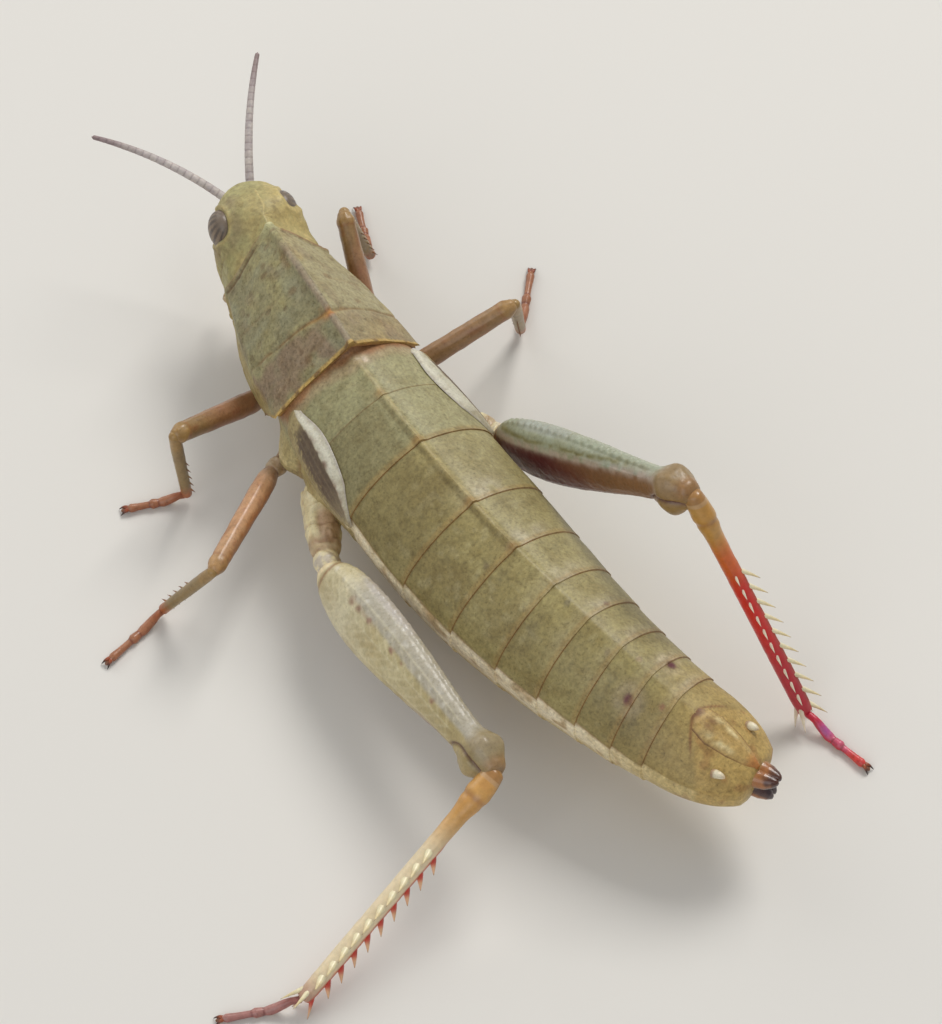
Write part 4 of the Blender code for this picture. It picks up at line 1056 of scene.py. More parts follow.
def build_tegmina():
    for side, word in SIDES:
        first, last = TEGMEN_TOP[0][0], TEGMEN_TOP[-1][0] - (0.0 if side > 0 else 0.6)
        share = np.concatenate([[0.0], np.linspace(0.012, 0.988, 100), [1.0]])
        station = first - 1.1 + share * (last - first + 1.1)
        reading = np.minimum(station, 27.0)
        high = along(TEGMEN_TOP, reading)[0] + (0.0 if side > 0 else 0.1)
        low = along(TEGMEN_BOTTOM, reading)[0]
        taper = np.clip(np.minimum(share / 0.12, (1 - share) / 0.22), 0.0, 1.0) ** 0.6
        tuck = fade(share, 0.02, 0.16)[:, None]
        middle, narrow = 0.5 * (high + low), 0.2 + 0.8 * taper
        high, low = middle + (high - middle) * narrow, middle + (low - middle) * narrow
        cols = 60
        across = np.linspace(0.0, 1.0, cols)[None]
        height = low[:, None] + across * (high - low)[:, None]
        place = np.repeat(station[:, None], cols, axis=1)
        u = share[:, None] + 0 * across
        crown = np.sin(math.pi * across) ** 0.5 * (0.3 + 0.7 * taper[:, None])
        spot = np.stack([u * 20, across * 8 + 0 * u, 0 * u], -1)
        fan = across + 0.08 * np.sin(3 * u)
        veins = (sum(bell(fan, at, 0.016) for at in (0.14, 0.26, 0.38, 0.5, 0.62, 0.74, 0.87))
                 * ramp(u, 0.05, 0.2) * fade(u, 0.85, 1.0))
        net = bell((u * 30 + 3 * cloud(spot, 1.0)) % 1.0, 0.5, 0.12) * (1 - veins)
        lift = (0.22 + 0.2 * crown + 0.04 * veins + 0.015 * net * crown
                + 0.05 * bell(across, 0.84, 0.08) - 0.5 * tuck)
        dip = 0.16 * ramp(across, 0.72, 1.0)
        outer = proud_of_flank(place, height, side, lift - dip)
        inner = proud_of_flank(place, height, side, 0.22 - 0.2 * crown - 0.5 * tuck - dip)
        points = np.concatenate([outer, inner[:, ::-1]], axis=1)
        fine, tiny = cloud(outer, 0.35), cloud(outer + 20, 0.16)
        cream = two_tone(outer, (198, 194, 174), (178, 170, 146), ramp(fine, -0.2, 0.9))
        khaki = two_tone(outer, (168, 152, 108), (150, 134, 92), ramp(fine, -0.2, 0.8))
        border = ((0.84 if side > 0 else 0.66) + 0.05 * ramp(u, 0.6, 1.0)
                  - 0.05 * ramp(u, 0.1, 0.4) + 0.02 * fine)
        band = ramp(border - across, -0.03, 0.04)
        coat = mix(cream, khaki, band)
        depth = border - across
        streak = band * fade(depth, 0.2, 0.64) * ramp(u, 0.14, 0.34) * fade(u, 0.88, 0.98)
        stipple = ramp(tiny + 1.6 * streak - 0.3 * ramp(depth, 0.0, 0.4), -0.1, 0.7)
        coat = painted(
            coat,
            (82, 64, 54, 0.9 * np.minimum(streak * 1.3, 1.0) * stipple),
            (112, 66, 66, 0.5 * bell(across, border + 0.015, 0.03) * ramp(u, 0.1, 0.3)
             * ramp(fine, -0.6, 0.4)),
            (120, 104, 78, 0.35 * band * ramp(tiny, 0.1, 0.5)),
            # Painted highlight: a pale streak along the upper part of the wing pad.
            (226, 222, 206, 0.45 * bell(across, 0.9, 0.05) * fade(u, 0.5, 0.8)),
            (160, 146, 116, 0.5 * ramp(u, 0.66, 0.95)),
            (160, 150, 150, 0.5 * ramp(across, 0.95, 0.99)),
            (150, 132, 100, 0.22 * veins * band),
        )
        lining = flat(inner, rgb(190, 176, 150))
        coat = np.concatenate([coat, lining], axis=1)
        make(f"tegmen_{word}_pad", Shape(points, coat), WING, "tegmen", f"tegmen_{word}",
             sharp=70.0)


# ---------------------------------------------------------------- the tail
def build_tail():
    """The plate over the vent."""
    share = np.linspace(0.0, 1.0, 90)
    station = EPIPROCT_FRONT + share * EPIPROCT_LENGTH
    half = np.interp(share, *EPIPROCT_HALVES)
    top = along(TRUNK, station)[0]
    across = np.linspace(-1, 1, 45)
    left = half[:, None] * across
    u, v = share[:, None] + 0 * left, np.abs(across)[None] + 0 * left
    sag = -0.2 * left**2
    vault = (1 - v**3) * (0.2 + 0.8 * ramp(u, 0.0, 0.2))
    ribs = (0.05 * bell(v, 0.45, 0.12) * bell(u, 0.35, 0.25)
            - 0.05 * bell(v, 0.0, 0.16) * ramp(u, 0.1, 0.3) * fade(u, 0.45, 0.75))
    upper = body(station[:, None], left, top[:, None] - 0.05 + 0.2 * vault + ribs + sag)
    lower = body(station[:, None], left[:, ::-1], top[:, None] - 0.32 + sag)
    points = np.concatenate([upper, lower], axis=1)
    fine, wide = cloud(upper, 0.45), cloud(upper + 7, 1.0)
    coat = two_tone(upper, (178, 148, 88), (216, 198, 148),
                    bell(v, 0.55, 0.2) * bell(u, 0.42, 0.3) * ramp(fine, -1.0, 0.3))
    coat = painted(
        coat,
        (110, 68, 38, 0.9 * fade(u + 0.03 * fine, 0.03, 0.1) * fade(v, 0.75, 1.05)),
        (112, 70, 36, 0.8 * ramp(v, 0.84, 0.95) * fade(u, 0.6, 0.95)),
        (116, 80, 54, 0.75 * bell(u, 0.22, 0.1) * bell(v, 0.2, 0.24) * ramp(fine, -0.8, 0.2)),
        (136, 98, 54, 0.4 * ramp(wide + 0.3 * fine, 0.2, 0.7)),
        (170, 104, 46, 0.8 * ramp(u, 0.78, 0.95)),
    )
    coat = np.concatenate([coat, coat[:, ::-1]], axis=1)
    make("tail_plate", Shape(points, coat), ABDOMEN, "abdomen", "epiproct", sharp=60.0)


def build_cerci():
    for side, word in SIDES:
        (first, low), (last, high) = CERCUS_PLACE
        start = proud_of_flank(np.array(first + 0.35), np.array(low), side, -0.1)
        end = proud_of_flank(np.array(last - 0.45), np.array(high - 0.1), side, 0.5)
        share = np.linspace(0.0, 1.0, 30)
        path = (start + (end - start) * share[:, None]
                + UP * (0.08 * np.sin(math.pi * share))[:, None])
        radius = 0.34 * np.sqrt(np.clip(1 - share**2.6, 0.015, 1.0)) * (1 - 0.25 * share)
        points = sweep(path, radius, 16)
        coat = two_tone(points, (222, 212, 184), (176, 134, 92),
                        (0.5 * ramp(share, 0.7, 1.0))[:, None])
        coat = mix(coat, rgb(150, 108, 66), (0.8 * fade(share, 0.1, 0.3))[:, None])
        make(f"cercus_{word}_cone", Shape(points, coat), GLOSSY, "tegmen", f"cercus_{word}")


def build_valves():
    sin = np.sin(turns(28))
    for word, (start, end) in VALVES.items():
        shape = Shape()
        up = 1 if word == "upper" else -1
        for side in (1, -1):
            a = body(start[0] - 1.3, side * 0.5, start[1] - 0.05 * up)
            b = body(end[0] + 0.05, side * 0.2, end[1] + 0.05 * up)
            share = np.linspace(0.0, 1.0, 50)
            path = (a + (b - a) * share[:, None] + UP
                    * (up * (0.34 * share**3 - 0.14 * np.sin(math.pi * share)))[:, None])
            sizes = [np.interp(share, VALVE_STEPS, radii) for radii in (VALVE_WIDE, VALVE_TALL)]
            points = sweep(path, np.stack(sizes, -1), 28)
            points[..., 2] += -up * 0.14 * np.maximum(-up * sin, 0.0)[None] * share[:, None]
            fine = cloud(points, 0.4)
            coat = two_tone(points, (160, 102, 52), (176, 136, 80),
                            0.7 * fade(share, 0.3, 0.6)[:, None])
            coat = painted(
                coat,
                (206, 190, 150, 0.5 * bell(share, 0.42, 0.07)[:, None] * ramp(fine, -0.2, 0.5)),
                (66, 30, 22, 0.95 * ramp(share[:, None] + 0.14 * fine, 0.66, 0.9)),
            )
            below = ramp(-up * sin, 0.0, 0.5)[None] * ramp(share, 0.35, 0.55)[:, None]
            coat = mix(coat, rgb(44, 20, 32), 0.9 * below)
            shape.add(points, coat)
        make(f"ovipositor_{word}_valves", shape, VALVE, "valve", f"ovipositor_{word}")


# ---------------------------------------------------------------- legs
def heading(bearing, rise, side):
    """A direction. The bearing is 0 straight ahead and 90 straight out to the limb's side."""
    rise = math.radians(rise)
    return np.array([side * math.cos(rise) * math.sin(math.radians(bearing)),
                     -math.cos(rise) * math.cos(math.radians(bearing)), math.sin(rise)])


def limb_axes(direction, up):
    """A limb's axes as rows: along it, to its left and up from it."""
    x = normalized(direction)
    z = normalized(up - (up @ x) * x)
    return np.array([x, np.cross(z, x), z])


def limb(profile, length, shares, cols, fuller=1.0):
    """Points round a limb along +X, and their angles.

    A profile's rows are the place along it, and its reach upwards, aside and downwards.
    """
    rise, wide, fall = along(profile, shares)
    turn = turns(cols)
    cos, sin = np.cos(turn), np.sin(turn)
    reach = np.where(sin >= 0, rise[:, None], fall[:, None])
    y = wide[:, None] * np.sign(cos) * np.abs(cos) ** fuller
    return np.stack([shares[:, None] * length + 0 * y, y, reach * sin], -1), turn


def swollen(local, turn, push):
    """The limb's points moved out from its axis."""
    return local + np.stack([0 * push, np.cos(turn) * push, np.sin(turn) * push], -1)


def facing(axes, side):
    """1 where a limb's own left is on the animal's outer side, and -1 elsewhere."""
    return 1.0 if side * axes[1][0] > 0 else -1.0


def placed(points, origin, axes):
    """Points in a limb's own axes, moved to the row's."""
    return origin + points @ axes


def ends_closed(points, coat, near=0.35, far=0.35):
    """The limb with small domes at its two ends, so that neither is cut off flat."""
    def dome(ring, inner, depth):
        centre = ring.mean(axis=0)
        out = normalized(centre - inner.mean(axis=0))
        return [centre + (ring - centre) * shrink + out * depth * rise
                for shrink, rise in ((0.9, 0.35), (0.66, 0.72), (0.3, 0.95), (0.04, 1.0))]
    first = np.array(dome(points[0], points[1], near))[::-1]
    last = np.array(dome(points[-1], points[-2], far))
    return (np.concatenate([first, points, last]),
            np.concatenate([np.repeat(coat[:1], 4, axis=0), coat,
                            np.repeat(coat[-1:], 4, axis=0)]))


def build_coxa(name, pair, side, hip, thigh):
    station, left, height = COXA_ROOT[pair]
    root = body(station, side * left, height)
    girth, hind = COXA_GIRTH[pair], pair == "hind"
    rows, cols = 110, 48
    share = np.linspace(0.0, 1.0, rows)
    size = girth * np.interp(share, *COXA_SIZES[hind])
    path = root + (hip + thigh * (0.25 if hind else 0.1) - root) * share[:, None]
    points = sweep(path, np.stack([size * 0.95, size], -1), cols)
    out = normalized(points - path[:, None])
    folds, fine = cloud(points * (0.6, 0.6, 1.3), 0.6), cloud(points + 4, 0.28)
    u = share[:, None] + 0 * folds
    ripple = bell((u * 5.5 + 0.75 * folds) % 1.0, 0.5, 0.16)
    collar = bell(u, 0.79, 0.035)
    lean = out @ (UP * 0.8 - np.array([side * 0.6, 0.0, 0.0]))
    hollow = ramp(lean, 0.35, 0.8) * bell(u, 0.5, 0.22) if hind else 0.0 * u
    push = ((0.08 * folds - 0.08 * ripple) * (1.0 if hind else 0.35) - 0.06 * collar + 0.02 * fine
            - 0.32 * hollow)
    points = points + out * push[..., None]
    pale = {"hind": rgb(230, 217, 172), "mid": rgb(178, 150, 112), "fore": rgb(146, 114, 80)}[pair]
    coat = mix(flat(points, pale), rgb(144, 104, 70),
               (0.5 if hind else 0.75) * ripple * ramp(-folds + 0.4 * fine, -0.6, 0.5))
    coat = painted(
        coat,
        (224, 212, 176, (0.6 if hind else 0.2) * ramp(folds, 0.1, 0.7) * (1 - ripple)),
        # Partly painted light: the hollow's own pinkish brown is painted lighter, as if sunlit.
        (190, 150, 124, 0.7 * ramp(hollow, 0.25, 0.8)),
        (146, 104, 76, 0.65 * bell(u, 0.7, 0.07) + 0.5 * collar),
        (178, 168, 166, (0.65 if hind else 0.15) * ramp(u, 0.82, 0.9) * ramp(fine, -0.9, 0.3)),
    )
    points, coat = ends_closed(points, coat, 0.2, 0.25)
    make(f"{name}_coxa_joint", Shape(points, coat), FEMUR,
         "hind_femur" if hind else "walking_leg", f"{name}_coxa")


# Spots on the left hind thigh: share of its length, and size.
THIGH_SPOTS = ((0.2, 0.5), (0.24, 0.42), (0.3, 0.35), (0.44, 0.42), (0.5, 0.3), (0.68, 0.36))


def paint_hind_femur(local, share, side, outer, length):
    """Colour of the hind thigh. outer is 1 on the outer face and -1 on the inner one."""
    level = local[..., 2] / 2.3
    spot = np.stack([local[..., 0], local[..., 2], 3.0 * side + 0 * level], -1)
    fine, wide = cloud(spot, 0.4), cloud(spot + 8, 1.5)
    u = share[:, None] + 0 * level
    if side > 0:
        coat = two_tone(local, (198, 186, 144), (176, 158, 108),
                        ramp(wide + 0.4 * fine, -0.5, 0.8))
        coat = painted(
            coat,
            (214, 206, 176, 0.6 * bell(u, 0.18, 0.14)),
            (160, 140, 88, 0.65 * ramp(u, 0.4, 0.8)),
        )
        border = 0.42 - 0.25 * ramp(u, 0.15, 0.8) + 0.04 * fine
        upper = ramp(level - border, -0.05, 0.1)
        coat = painted(
            coat,
            (172, 166, 152, 0.85 * upper * ramp(u, 0.1, 0.24)),
            (208, 204, 192, 0.5 * upper * ramp(fine, 0.1, 0.8)),
            (150, 124, 112, 0.5 * bell(level, border - 0.02, 0.07) * bell(u, 0.27, 0.06)),
        )
        for at, size in THIGH_SPOTS:
            away = (np.hypot((u - at) * length, (level - border + 0.06) * 2.3)
                    + 0.12 * cloud(spot + 3, 0.3))
            coat = mix(coat, rgb(134, 74, 72), 0.65 * fade(away, 0.05, size))
        coat = mix(coat, rgb(146, 116, 150), 0.6 * ramp(-level, 0.45, 0.62) * bell(u, 0.74, 0.1))
    else:
        coat = two_tone(local, (158, 164, 142), (150, 152, 124), ramp(wide, -0.5, 0.8))
    inner_face = ramp(-outer, -0.1, 0.35)
    maroon = two_tone(local, (84, 24, 32), (126, 86, 52), ramp(u + 0.08 * wide, 0.3, 0.72))
    coat = mix(coat, maroon, inner_face * ramp(0.5 - level + 0.05 * fine, 0.0, 0.12))
    coat = painted(
        coat,
        (180, 164, 150, 0.9 * inner_face * bell(level, 0.52 - 0.1 * u, 0.13)
         * ramp(fine, -1.0, 0.3)),
        (118, 112, 62, 0.85 * inner_face * bell(level + 0.06 * fine, 0.72 - 0.12 * u, 0.06)
         * ramp(fine, -0.9, 0.2)),
    )
    coat = mix(coat, rgb(164, 168, 156) if side < 0 else rgb(184, 176, 166),
               0.9 * ramp(level, 0.84, 0.93) * ramp(fine, -1.6, 0.0))
    knee = ramp(u, 0.86, 0.91)
    coat = mix(coat, rgb(144, 114, 66) if side < 0 else rgb(146, 128, 84), 0.88 * knee)
    coat = mix(coat, rgb(150, 104, 60), 0.55 * ramp(u, 0.965, 1.0) * ramp(level, -0.2, 0.2))
    return coat


def build_femur(name, pair, side, hip, thigh, femur_up, length):
    hind = pair == "hind"
    rows, cols = (260, 120) if hind else (100, 44)
    shares = np.linspace(0.0, 1.0, rows)
    body_length = length - GAP
    profile = HIND_FEMUR if hind else WALKING_FEMUR
    local, turn = limb(profile, body_length, shares, cols, 0.82 if hind else 0.9)
    axes = limb_axes(thigh, femur_up)
    origin = hip + thigh * GAP / 2
    outer = facing(axes, side) * np.cos(turn)[None] * np.ones((rows, 1))
    u = shares[:, None] * np.ones((1, cols))
    sin, aside = np.sin(turn)[None], np.abs(np.cos(turn))[None]
    if hind:
        x = local[..., 0]
        crest = bell(sin, 1.0, 0.02) + bell(sin, -1.0, 0.02)
        rise, _, fall = along(profile, shares)
        part = local[..., 2] / np.where(local[..., 2] >= 0, rise[:, None], fall[:, None])
        rails = bell(np.abs(part), 0.66, 0.04) * ramp(u, 0.04, 0.1) * fade(u, 0.79, 0.84)
        field = (fade(np.abs(part), 0.57, 0.62) * ramp(u, 0.05, 0.1)
                 * fade(u, 0.77, 0.82) * ramp(outer, 0.0, 0.3))
        wobble = 0.25 * cloud(local + 5, 1.2)
        chevron = bell((x + 1.3 * np.abs(local[..., 2]) + wobble) % 1.0, 0.5, 0.14) * field
        spine = bell(local[..., 2] + 0.3 * wobble, 0.0, 0.06) * field
        knee_x, knee_z = KNEE_LOBE[0] * body_length, KNEE_LOBE[1]
        away = np.hypot(0.68 * (x - knee_x), local[..., 2] - knee_z)
        flank_face = ramp(aside, 0.2, 0.45)
        crescent = bell(away, 1.5, 0.1) * ramp(local[..., 2], -1.3, -0.9) * flank_face
        lobe = fade(away, 1.1, 1.45) * flank_face
        push = (0.1 * crest * ramp(u, 0.03, 0.1) * fade(u, 0.8, 0.9) + 0.04 * rails
                + 0.022 * chevron + 0.03 * spine)
        push = (push - 0.16 * crescent + 0.09 * lobe + 0.02 * cloud(local, 0.4)
                + 0.015 * cloud(local + 3, 0.2))
        push = push + bell(u, 0.92, 0.05) * (0.18 + 0.2 * ramp(aside, 0.1, 0.6))
        saw = (bell((x * 1.35 + wobble) % 1.0, 0.5, 0.22) * bell(sin, 1.0, 0.015)
               * ramp(u, 0.06, 0.12) * fade(u, 0.76, 0.86))
        push = push + (0.12 if side < 0 else 0.05) * saw
        coat = paint_hind_femur(local, shares, side, outer, body_length)
        coat = painted(
            coat,
            (226, 218, 184, 0.3 * (0.7 * chevron + rails + spine) * ramp(outer, 0.0, 0.3)),
            (150, 138, 98, 0.2 * field * (1 - chevron) * ramp(cloud(local + 9, 0.5), -0.2, 0.5)),
        )
        coat = mix(coat, rgb(84, 40, 38) if side < 0 else rgb(104, 70, 50), 0.92 * crescent)
        coat = mix(coat, rgb(150, 122, 72) if side < 0 else rgb(178, 158, 110), 0.5 * lobe)
        coat = painted(
            coat,
            (166, 154, 140, (0.12 if side < 0 else 0.3) * bell(u, 0.93, 0.05)
             * ramp(sin, 0.0, 0.6)),
            (236, 218, 176, 0.9 * fade(u, 0.014, 0.03)),
            (150, 108, 70, 0.8 * bell(u, 0.034, 0.006)),
        )
        push = push + 0.08 * bell(u, 0.015, 0.012)
    else:
        knee = ramp(u, 0.86, 0.95)
        fine = cloud(local + 3, 0.5)
        push = 0.05 * bell(u, 0.945, 0.03) * ramp(aside, 0.2, 0.7) + 0.02 * cloud(local, 0.6)
        push = push + 0.035 * bell(sin, 1.0, 0.03) + 0.03 * bell(np.abs(sin), 0.72, 0.05)
        pale = {"fore": rgb(140, 95, 56), "mid": rgb(170, 106, 56) if side > 0
                else rgb(148, 112, 74)}[pair]
        coat = mix(flat(local, pale), rgb(142, 88, 50), ramp(-sin, -0.3, 0.6))
        # Painted highlight along the thigh's upper side; shine is its strength.
        shine = {"fore": 0.4, "mid": 0.5 if side > 0 else 0.1}[pair]
        coat = mix(coat, rgb(214, 180, 144) if pair == "mid" else rgb(162, 124, 100),
                   shine * ramp(sin + 0.25 * fine, 0.1, 0.8))
        coat = painted(
            coat,
            (140, 118, 72, (0.6 if pair == "fore" else 0.2) * ramp(u, 0.5, 0.85)),
            (168, 132, 74, 0.5 * knee),
            (186, 164, 142, 0.5 * fade(u, 0.05, 0.2)),
            (140, 82, 54, 0.45 * ramp(fine, 0.0, 0.7)),
            (138, 84, 46, 0.5 * bell(u, 0.91, 0.012)),
        )
    local, coat = ends_closed(swollen(local, turn, push), coat, 0.12, 0.4 if hind else 0.3)
    look, slot = (FEMUR, "hind_femur") if hind else (GLOSSY, "walking_leg")
    make(f"{name}_femur_shell", Shape(placed(local, origin, axes), coat), look, slot,
         f"{name}_femur")


def spine_points(base, tip, radius, bend):
    """A curved spine's points, and how far along it each row lies."""
    share = np.linspace(0.0, 1.0, 9)
    path = base + (tip - base) * share[:, None] + bend * (share**2)[:, None]
    size = radius * (1 - 0.93 * share**1.25)
    return sweep(path, size, 8, up=np.array([0.3, 0.5, 0.8])), share


def shin_color(share, pair, word):
    """Colour along a shin."""
    base = share[..., None] * np.ones(3)
    if pair != "hind":
        coat = two_tone(base, (140, 116, 72), (154, 122, 70), fade(share, 0.0, 0.15))
        return mix(coat, rgb(168, 96, 56), ramp(share, 0.75, 1.0))
    if word == "left":
        coat = two_tone(base, (200, 152, 84), (226, 208, 172), ramp(share, 0.12, 0.34))
        return mix(coat, rgb(186, 146, 124), ramp(share, 0.88, 1.0))
    coat = two_tone(base, (186, 138, 66), (202, 96, 36), ramp(share, 0.1, 0.24))
    coat = mix(coat, rgb(206, 30, 22), ramp(share, 0.24, 0.4))
    return mix(coat, rgb(184, 12, 40), ramp(share, 0.5, 0.9))


def shin_spikes(pair, word, outward):
    """Every spine and spur of a shin, as (place, edge, length, spread, slant, radius)."""
    if pair != "hind":
        return [(0.35 + 0.13 * i, sign, *WALKING_SPINE) for i in range(5) for sign in (1, -1)]
    spikes = []
    for sign, count in SPINES.items():
        away = (sign * outward > 0) == (word == "right")
        longer, spread, slant, thicker = SPINE_CHANGES[word, away]
        for i in range(count):
            share = SPINES_FROM + (i + 0.5) / count * (SPINES_TO - SPINES_FROM)
            spikes.append((share, sign, SPINE_LENGTH * longer, SPINE_SPREAD + spread,
                           SPINE_SLANT + slant, SPINE_RADIUS * thicker))
        for spread, slant in SPUR_TURNS:
            spikes.append((SPUR_PLACE, sign, SPUR_LENGTH, spread, slant, SPUR_RADIUS))
    return spikes


def condyle(first, pair):
    """Rows that fill the gap between the thigh's knee lobes and the straight shin."""
    hind = pair == "hind"
    neck = np.linspace(0.0, 1.0, CONDYLE_ROWS)[:, None, None]
    pivot = np.array([-KNEE_GAP[pair] * (0.95 if hind else 0.9), 0.0, -0.12 if hind else 0.0])
    middle = first.mean(axis=0)
    swell = 1.0 - 0.14 * (1 - neck) ** 2 if hind else 0.95 + 0.05 * neck
    return (pivot + (middle - pivot) * neck + (first - middle) * swell)[:-1]


def build_tibia(name, pair, word, side, knee, shin, thigh, length):
    hind = pair == "hind"
    rows, cols = (170, 40) if hind else (60, 28)
    shares = np.linspace(0.0, 1.0, rows)
    body_length = length - KNEE_GAP[pair]
    local, turn = limb(HIND_SHIN if hind else WALKING_TIBIA, body_length, shares, cols, 0.95)
    axes = limb_axes(shin, thigh)
    origin = knee + shin * KNEE_GAP[pair]
    u = shares[:, None] * np.ones((1, cols))
    sin, cos = np.sin(turn)[None], np.cos(turn)[None]
    outward = facing(axes, side)
    coat = shin_color(u, pair, word)
    fine = cloud(local + 2, 0.6)
    push = 0.015 * cloud(local, 0.5)
    if hind:
        if word == "left":
            coat = painted(
                coat,
                (200, 78, 42, 0.85 * ramp(-outward * cos, -0.1, 0.5) * ramp(u, 0.15, 0.3)),
                (190, 136, 70, 0.5 * fade(u, 0.02, 0.3) * ramp(fine, -0.5, 0.5)),
            )
        else:
            coat = painted(
                coat,
                (176, 140, 92, 0.5 * ramp(outward * cos, 0.3, 0.9) * ramp(u, 0.1, 0.24)),
                (176, 138, 74, 0.5 * ramp(fine, 0.0, 0.6) * fade(u, 0.05, 0.15)),
            )
        coat = mix(coat, rgb(120, 62, 48), 0.35 * bell(u, 0.05, 0.012))
        push = (push + 0.06 * bell(np.abs(cos), 0.62, 0.12) * ramp(sin, 0.3, 0.6)
                * ramp(u, 0.2, 0.3))
        push = push - 0.05 * bell(u, 0.055, 0.012)
    else:
        coat = mix(coat, rgb(134, 108, 64), 0.5 * ramp(fine, 0.0, 0.7))
    local = swollen(local, turn, push)
    local = np.concatenate([condyle(local[0], pair), local])
    coat = np.concatenate([np.repeat(coat[:1], CONDYLE_ROWS - 1, axis=0), coat])
    if hind:
        coat[:5] = mix(coat[:5], rgb(150, 108, 64), 0.7)
        coat[5:8] = mix(coat[5:8], rgb(176, 158, 140), 0.35)
    local, coat = ends_closed(local, coat, 0.35, 0.15)
    shape = Shape(placed(local, origin, axes), coat)
    for share, sign, size, spread, slant, radius in shin_spikes(pair, word, outward):
        spread, slant = sign * math.radians(spread), math.radians(slant)
        radial = np.array([0.0, math.sin(spread), math.cos(spread)])
        across = np.array([math.sin(slant), 0.0, 0.0]) + radial * math.cos(slant)
        base = np.array([share * body_length, 0.0, 0.0]) + radial * (0.38 if hind else 0.22)
        tip = base + across * (0.22 + size)
        bend = np.array([0.14, 0.0, 0.0]) * size
        points, run = spine_points(placed(base, origin, axes), placed(tip, origin, axes), radius,
                                   bend @ axes)
        points[..., 2] = np.maximum(points[..., 2], 0.0)
        root = shin_color(np.array([share]), pair, word)[0]
        tint = rgb(120, 70, 40)
        if hind and sign * outward > 0:
            root, tint = rgb(232, 222, 184), rgb(222, 204, 156)
        elif hind:
            tint = rgb(240, 228, 204) if word == "right" else rgb(226, 180, 140)
            root = rgb(196, 52, 34) if word == "left" else rgb(232, 214, 190)
        paint = mix(flat(points, root), tint, ramp(run, 0.3, 0.7)[:, None])
        paint = mix(paint, rgb(110, 70, 44), 0.6 * ramp(run, 0.88, 1.0)[:, None])
        shape.add(points, paint)
    make(f"{name}_tibia_shaft", shape, SHIN if hind else GLOSSY,
         "hind_tibia" if hind else "walking_leg", f"{name}_tibia")


def build_tarsus(name, pair, word, ankle, bearing, side):
    length = LENGTHS[pair][2]
    forward = heading(bearing, 0.0, side)
    aside = np.array([-forward[1], forward[0], 0.0])
    start = np.array([ankle[0], ankle[1], 0.0]) + TARSUS_START[pair] * forward
    share = np.linspace(0.0, 1.0, 76)
    x = -TARSUS_START[pair] * 0.75 + share * (length + TARSUS_START[pair] * 0.75)
    part = np.clip(x / length, 0.0, 1.0)
    axis = ANKLE[pair] + (TARSUS_LEVEL - ANKLE[pair]) * ramp(part, -0.12, 0.36)
    radius = np.interp(part, *TARSUS_SIZES)
    path = start + x[:, None] * forward + axis[:, None] * UP
    cols = 18
    points = sweep(path, np.stack([radius * 0.95, radius], -1), cols)
    pads = bell(part, 0.13, 0.05) + bell(part, 0.3, 0.05) + bell(part, 0.5, 0.05)
    low = np.maximum(points[..., 2], 0.0)
    points[..., 2] = np.where(low < 0.04, 0.0, low)
    top = ramp(np.sin(turns(cols)), 0.1, 0.9)[None]
    # Each pair is a foot's own colour and the colour of its painted highlight on top.
    tints = {("hind", "right"): (rgb(200, 34, 58), rgb(206, 116, 150)),
             ("hind", "left"): (rgb(156, 98, 92), rgb(176, 132, 124))}
    base, shine = tints.get((pair, word), (rgb(150, 86, 52), rgb(172, 124, 92)))
    coat = mix(flat(points, base), shine, 0.5 * top * ramp(part, 0.0, 0.2)[:, None])
    if pair == "hind" and word == "right":
        coat = painted(
            coat,
            # Painted highlight: violet on top of the first segment.
            (150, 84, 170, 0.55 * top * bell(part, 0.2, 0.12)[:, None]),
            (210, 60, 38, 0.8 * ramp(part, 0.6, 0.8)[:, None]),
        )
    joint = sum(bell(part, at, 0.014) for at in TARSUS_JOINTS)[:, None]
    coat = painted(
        coat,
        (104, 40, 34, 0.7 * joint),
        (206, 176, 120, 0.7 * pads[:, None] * ramp(-np.sin(turns(cols)), 0.2, 0.8)),
    )
    points, coat = ends_closed(points, coat, 0.18, 0.12)
    shape = Shape(points, coat)
    add_bead(shape, start + (length + 0.2) * forward + 0.24 * UP, (0.36, 0.2, 0.17),
             rgb(120, 76, 52), axes=np.array([forward, aside, UP]))
    for sign in (1, -1):
        run = np.linspace(0.0, 1.0, CLAW_STEPS)
        swing = sign * math.radians(CLAW_SWING) * (1 - 0.45 * run)
        reach = (np.cumsum(np.stack([np.cos(swing), np.sin(swing)], -1), axis=0) / CLAW_STEPS
                 * CLAW_LENGTH)
        claw = (start + (length - 0.12 + reach[:, :1]) * forward + reach[:, 1:] * aside
                + (TARSUS_LEVEL + 0.12 * np.sin(math.pi * run) - 0.28 * run**2)[:, None] * UP)
        tube = sweep(claw, CLAW_RADIUS * (1 - 0.9 * run**1.3), 10)
        tube[..., 2] = np.maximum(tube[..., 2], 0.0)
        paint = two_tone(tube, (150, 74, 42), (44, 24, 20), ramp(run, 0.35, 0.8)[:, None])
        shape.add(tube, paint)
    make(f"{name}_tarsus_foot", shape, GLOSSY, "tarsus", f"{name}_tarsus")


def build_leg(name):
    pair, word = name.split("_")
    side = 1 if word == "left" else -1
    leg = LEGS[name]
    femur_length, tibia_length, _ = LENGTHS[pair]
    station, left, height = leg["hip"]
    hip = body(station, side * left, height)
    thigh = heading(*leg["femur"], side)
    roll = math.radians(leg["roll"])
    femur_up = UP * math.cos(roll) + heading(90.0, 0.0, -side) * math.sin(roll)
    knee = hip + thigh * femur_length
    drop = math.degrees(math.asin((knee[2] - ANKLE[pair]) / tibia_length))
    shin = heading(leg["tibia"], -drop, side)
    build_coxa(name, pair, side, hip, thigh)
    build_femur(name, pair, side, hip, thigh, femur_up, femur_length)
    build_tibia(name, pair, word, side, knee, shin, thigh, tibia_length)
    build_tarsus(name, pair, word, knee + shin * tibia_length, leg["tarsus"], side)


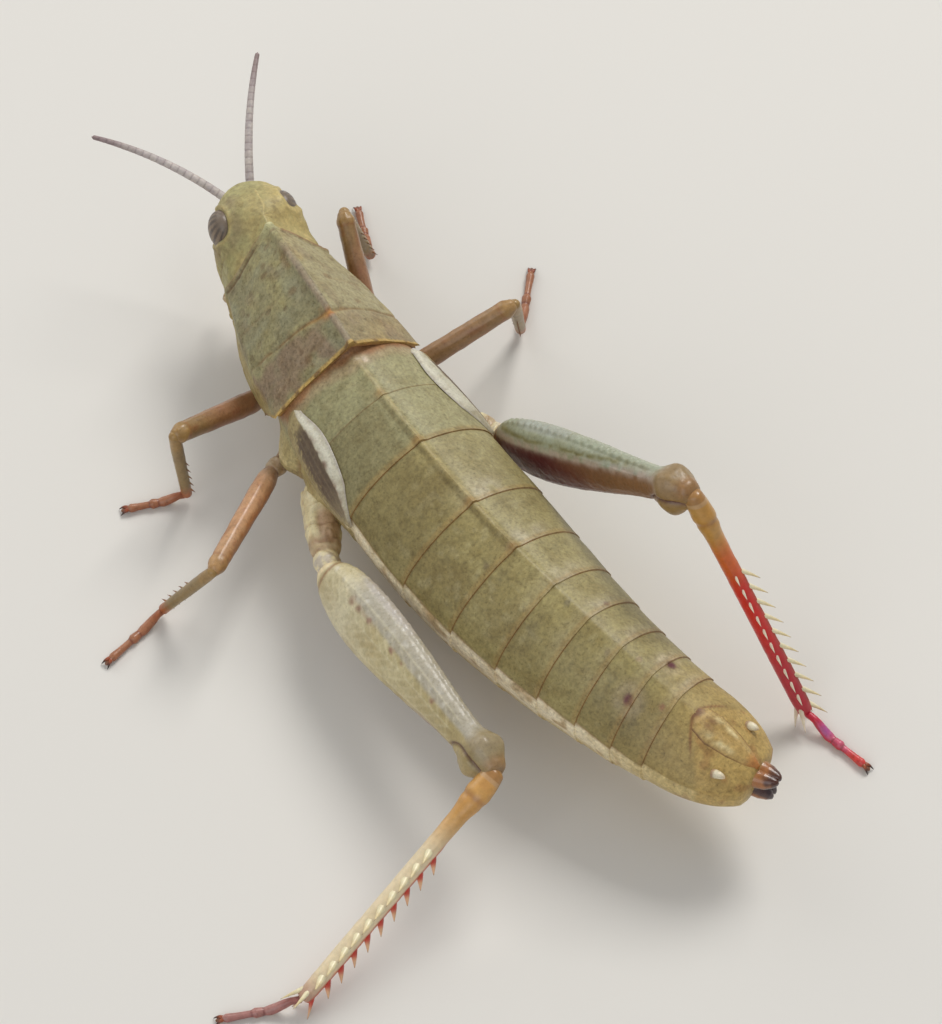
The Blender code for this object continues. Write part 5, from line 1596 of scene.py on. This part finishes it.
# ---------------------------------------------------------------- floor, light and camera
FLOOR_SIZE = 3.0
CAMERA_AIM = (0.61, 3.30, 13.4)
CAMERA_TURN, CAMERA_RISE, CAMERA_AWAY = 37.5, 58.0, 400.0
CAMERA_LENS, SENSOR = 223.5, 36.0


def build_floor():
    half = FLOOR_SIZE / 2
    mesh = bpy.data.meshes.new("studio_floor")
    mesh.from_pydata([(-half, -half, 0), (half, -half, 0), (half, half, 0), (-half, half, 0)], [],
                     [(0, 1, 2, 3)])
    paper = bpy.data.materials.new("pale_paper")
    paper.use_nodes = True
    shader = paper.node_tree.nodes["Principled BSDF"]
    shader.inputs["Base Color"].default_value = (0.74, 0.72, 0.68, 1.0)
    shader.inputs["Roughness"].default_value = 0.9
    mesh.materials.append(paper)
    floor = bpy.data.objects.new("studio_floor", mesh)
    bpy.context.scene.collection.objects.link(floor)


def add_light(name, place, size, watts, color):
    """A square soft box that faces the animal."""
    lamp = bpy.data.lights.new(name, "AREA")
    lamp.size = size
    lamp.energy = watts
    lamp.color = color
    holder = bpy.data.objects.new(name, lamp)
    holder.location = place
    holder.rotation_euler = (Vector(place) * -1.0).to_track_quat("-Z", "Y").to_euler()
    bpy.context.scene.collection.objects.link(holder)


def build_studio():
    build_floor()
    add_light("key", (-0.45, -0.20, 0.55), 0.30, 3.2, (1.0, 0.985, 0.955))
    add_light("fill", (0.55, 0.25, 0.45), 0.60, 1.6, (0.97, 0.98, 1.0))
    add_light("front", (0.05, -0.65, 0.35), 0.50, 1.0, (1.0, 0.98, 0.95))
    world = bpy.data.worlds.new("studio_air")
    world.use_nodes = True
    world.node_tree.nodes["Background"].inputs["Color"].default_value = (0.90, 0.90, 0.90, 1.0)
    world.node_tree.nodes["Background"].inputs["Strength"].default_value = 0.40
    scene = bpy.context.scene
    scene.world = world
    scene.view_settings.view_transform = "Standard"
    turn, rise = math.radians(CAMERA_TURN), math.radians(CAMERA_RISE)
    toward = Vector((math.sin(turn) * math.cos(rise), math.cos(turn) * math.cos(rise),
                     math.sin(rise)))
    aim = Vector((np.array(CAMERA_AIM) + SHIFT) * MM)
    lens = bpy.data.cameras.new("camera")
    lens.sensor_fit = "HORIZONTAL"
    lens.sensor_width = SENSOR
    lens.lens = CAMERA_LENS
    lens.clip_start = 0.01
    camera = bpy.data.objects.new("camera", lens)
    camera.location = aim + toward * (CAMERA_AWAY * MM)
    camera.rotation_euler = (-toward).to_track_quat("-Z", "Y").to_euler()
    scene.collection.objects.link(camera)
    scene.camera = camera


build_studio()
build_trunk()
build_pronotum()
build_head()
build_eyes()
build_antennae()
build_palps()
build_tegmina()
build_tail()
build_cerci()
build_valves()
for leg_name in LEGS:
    build_leg(leg_name)
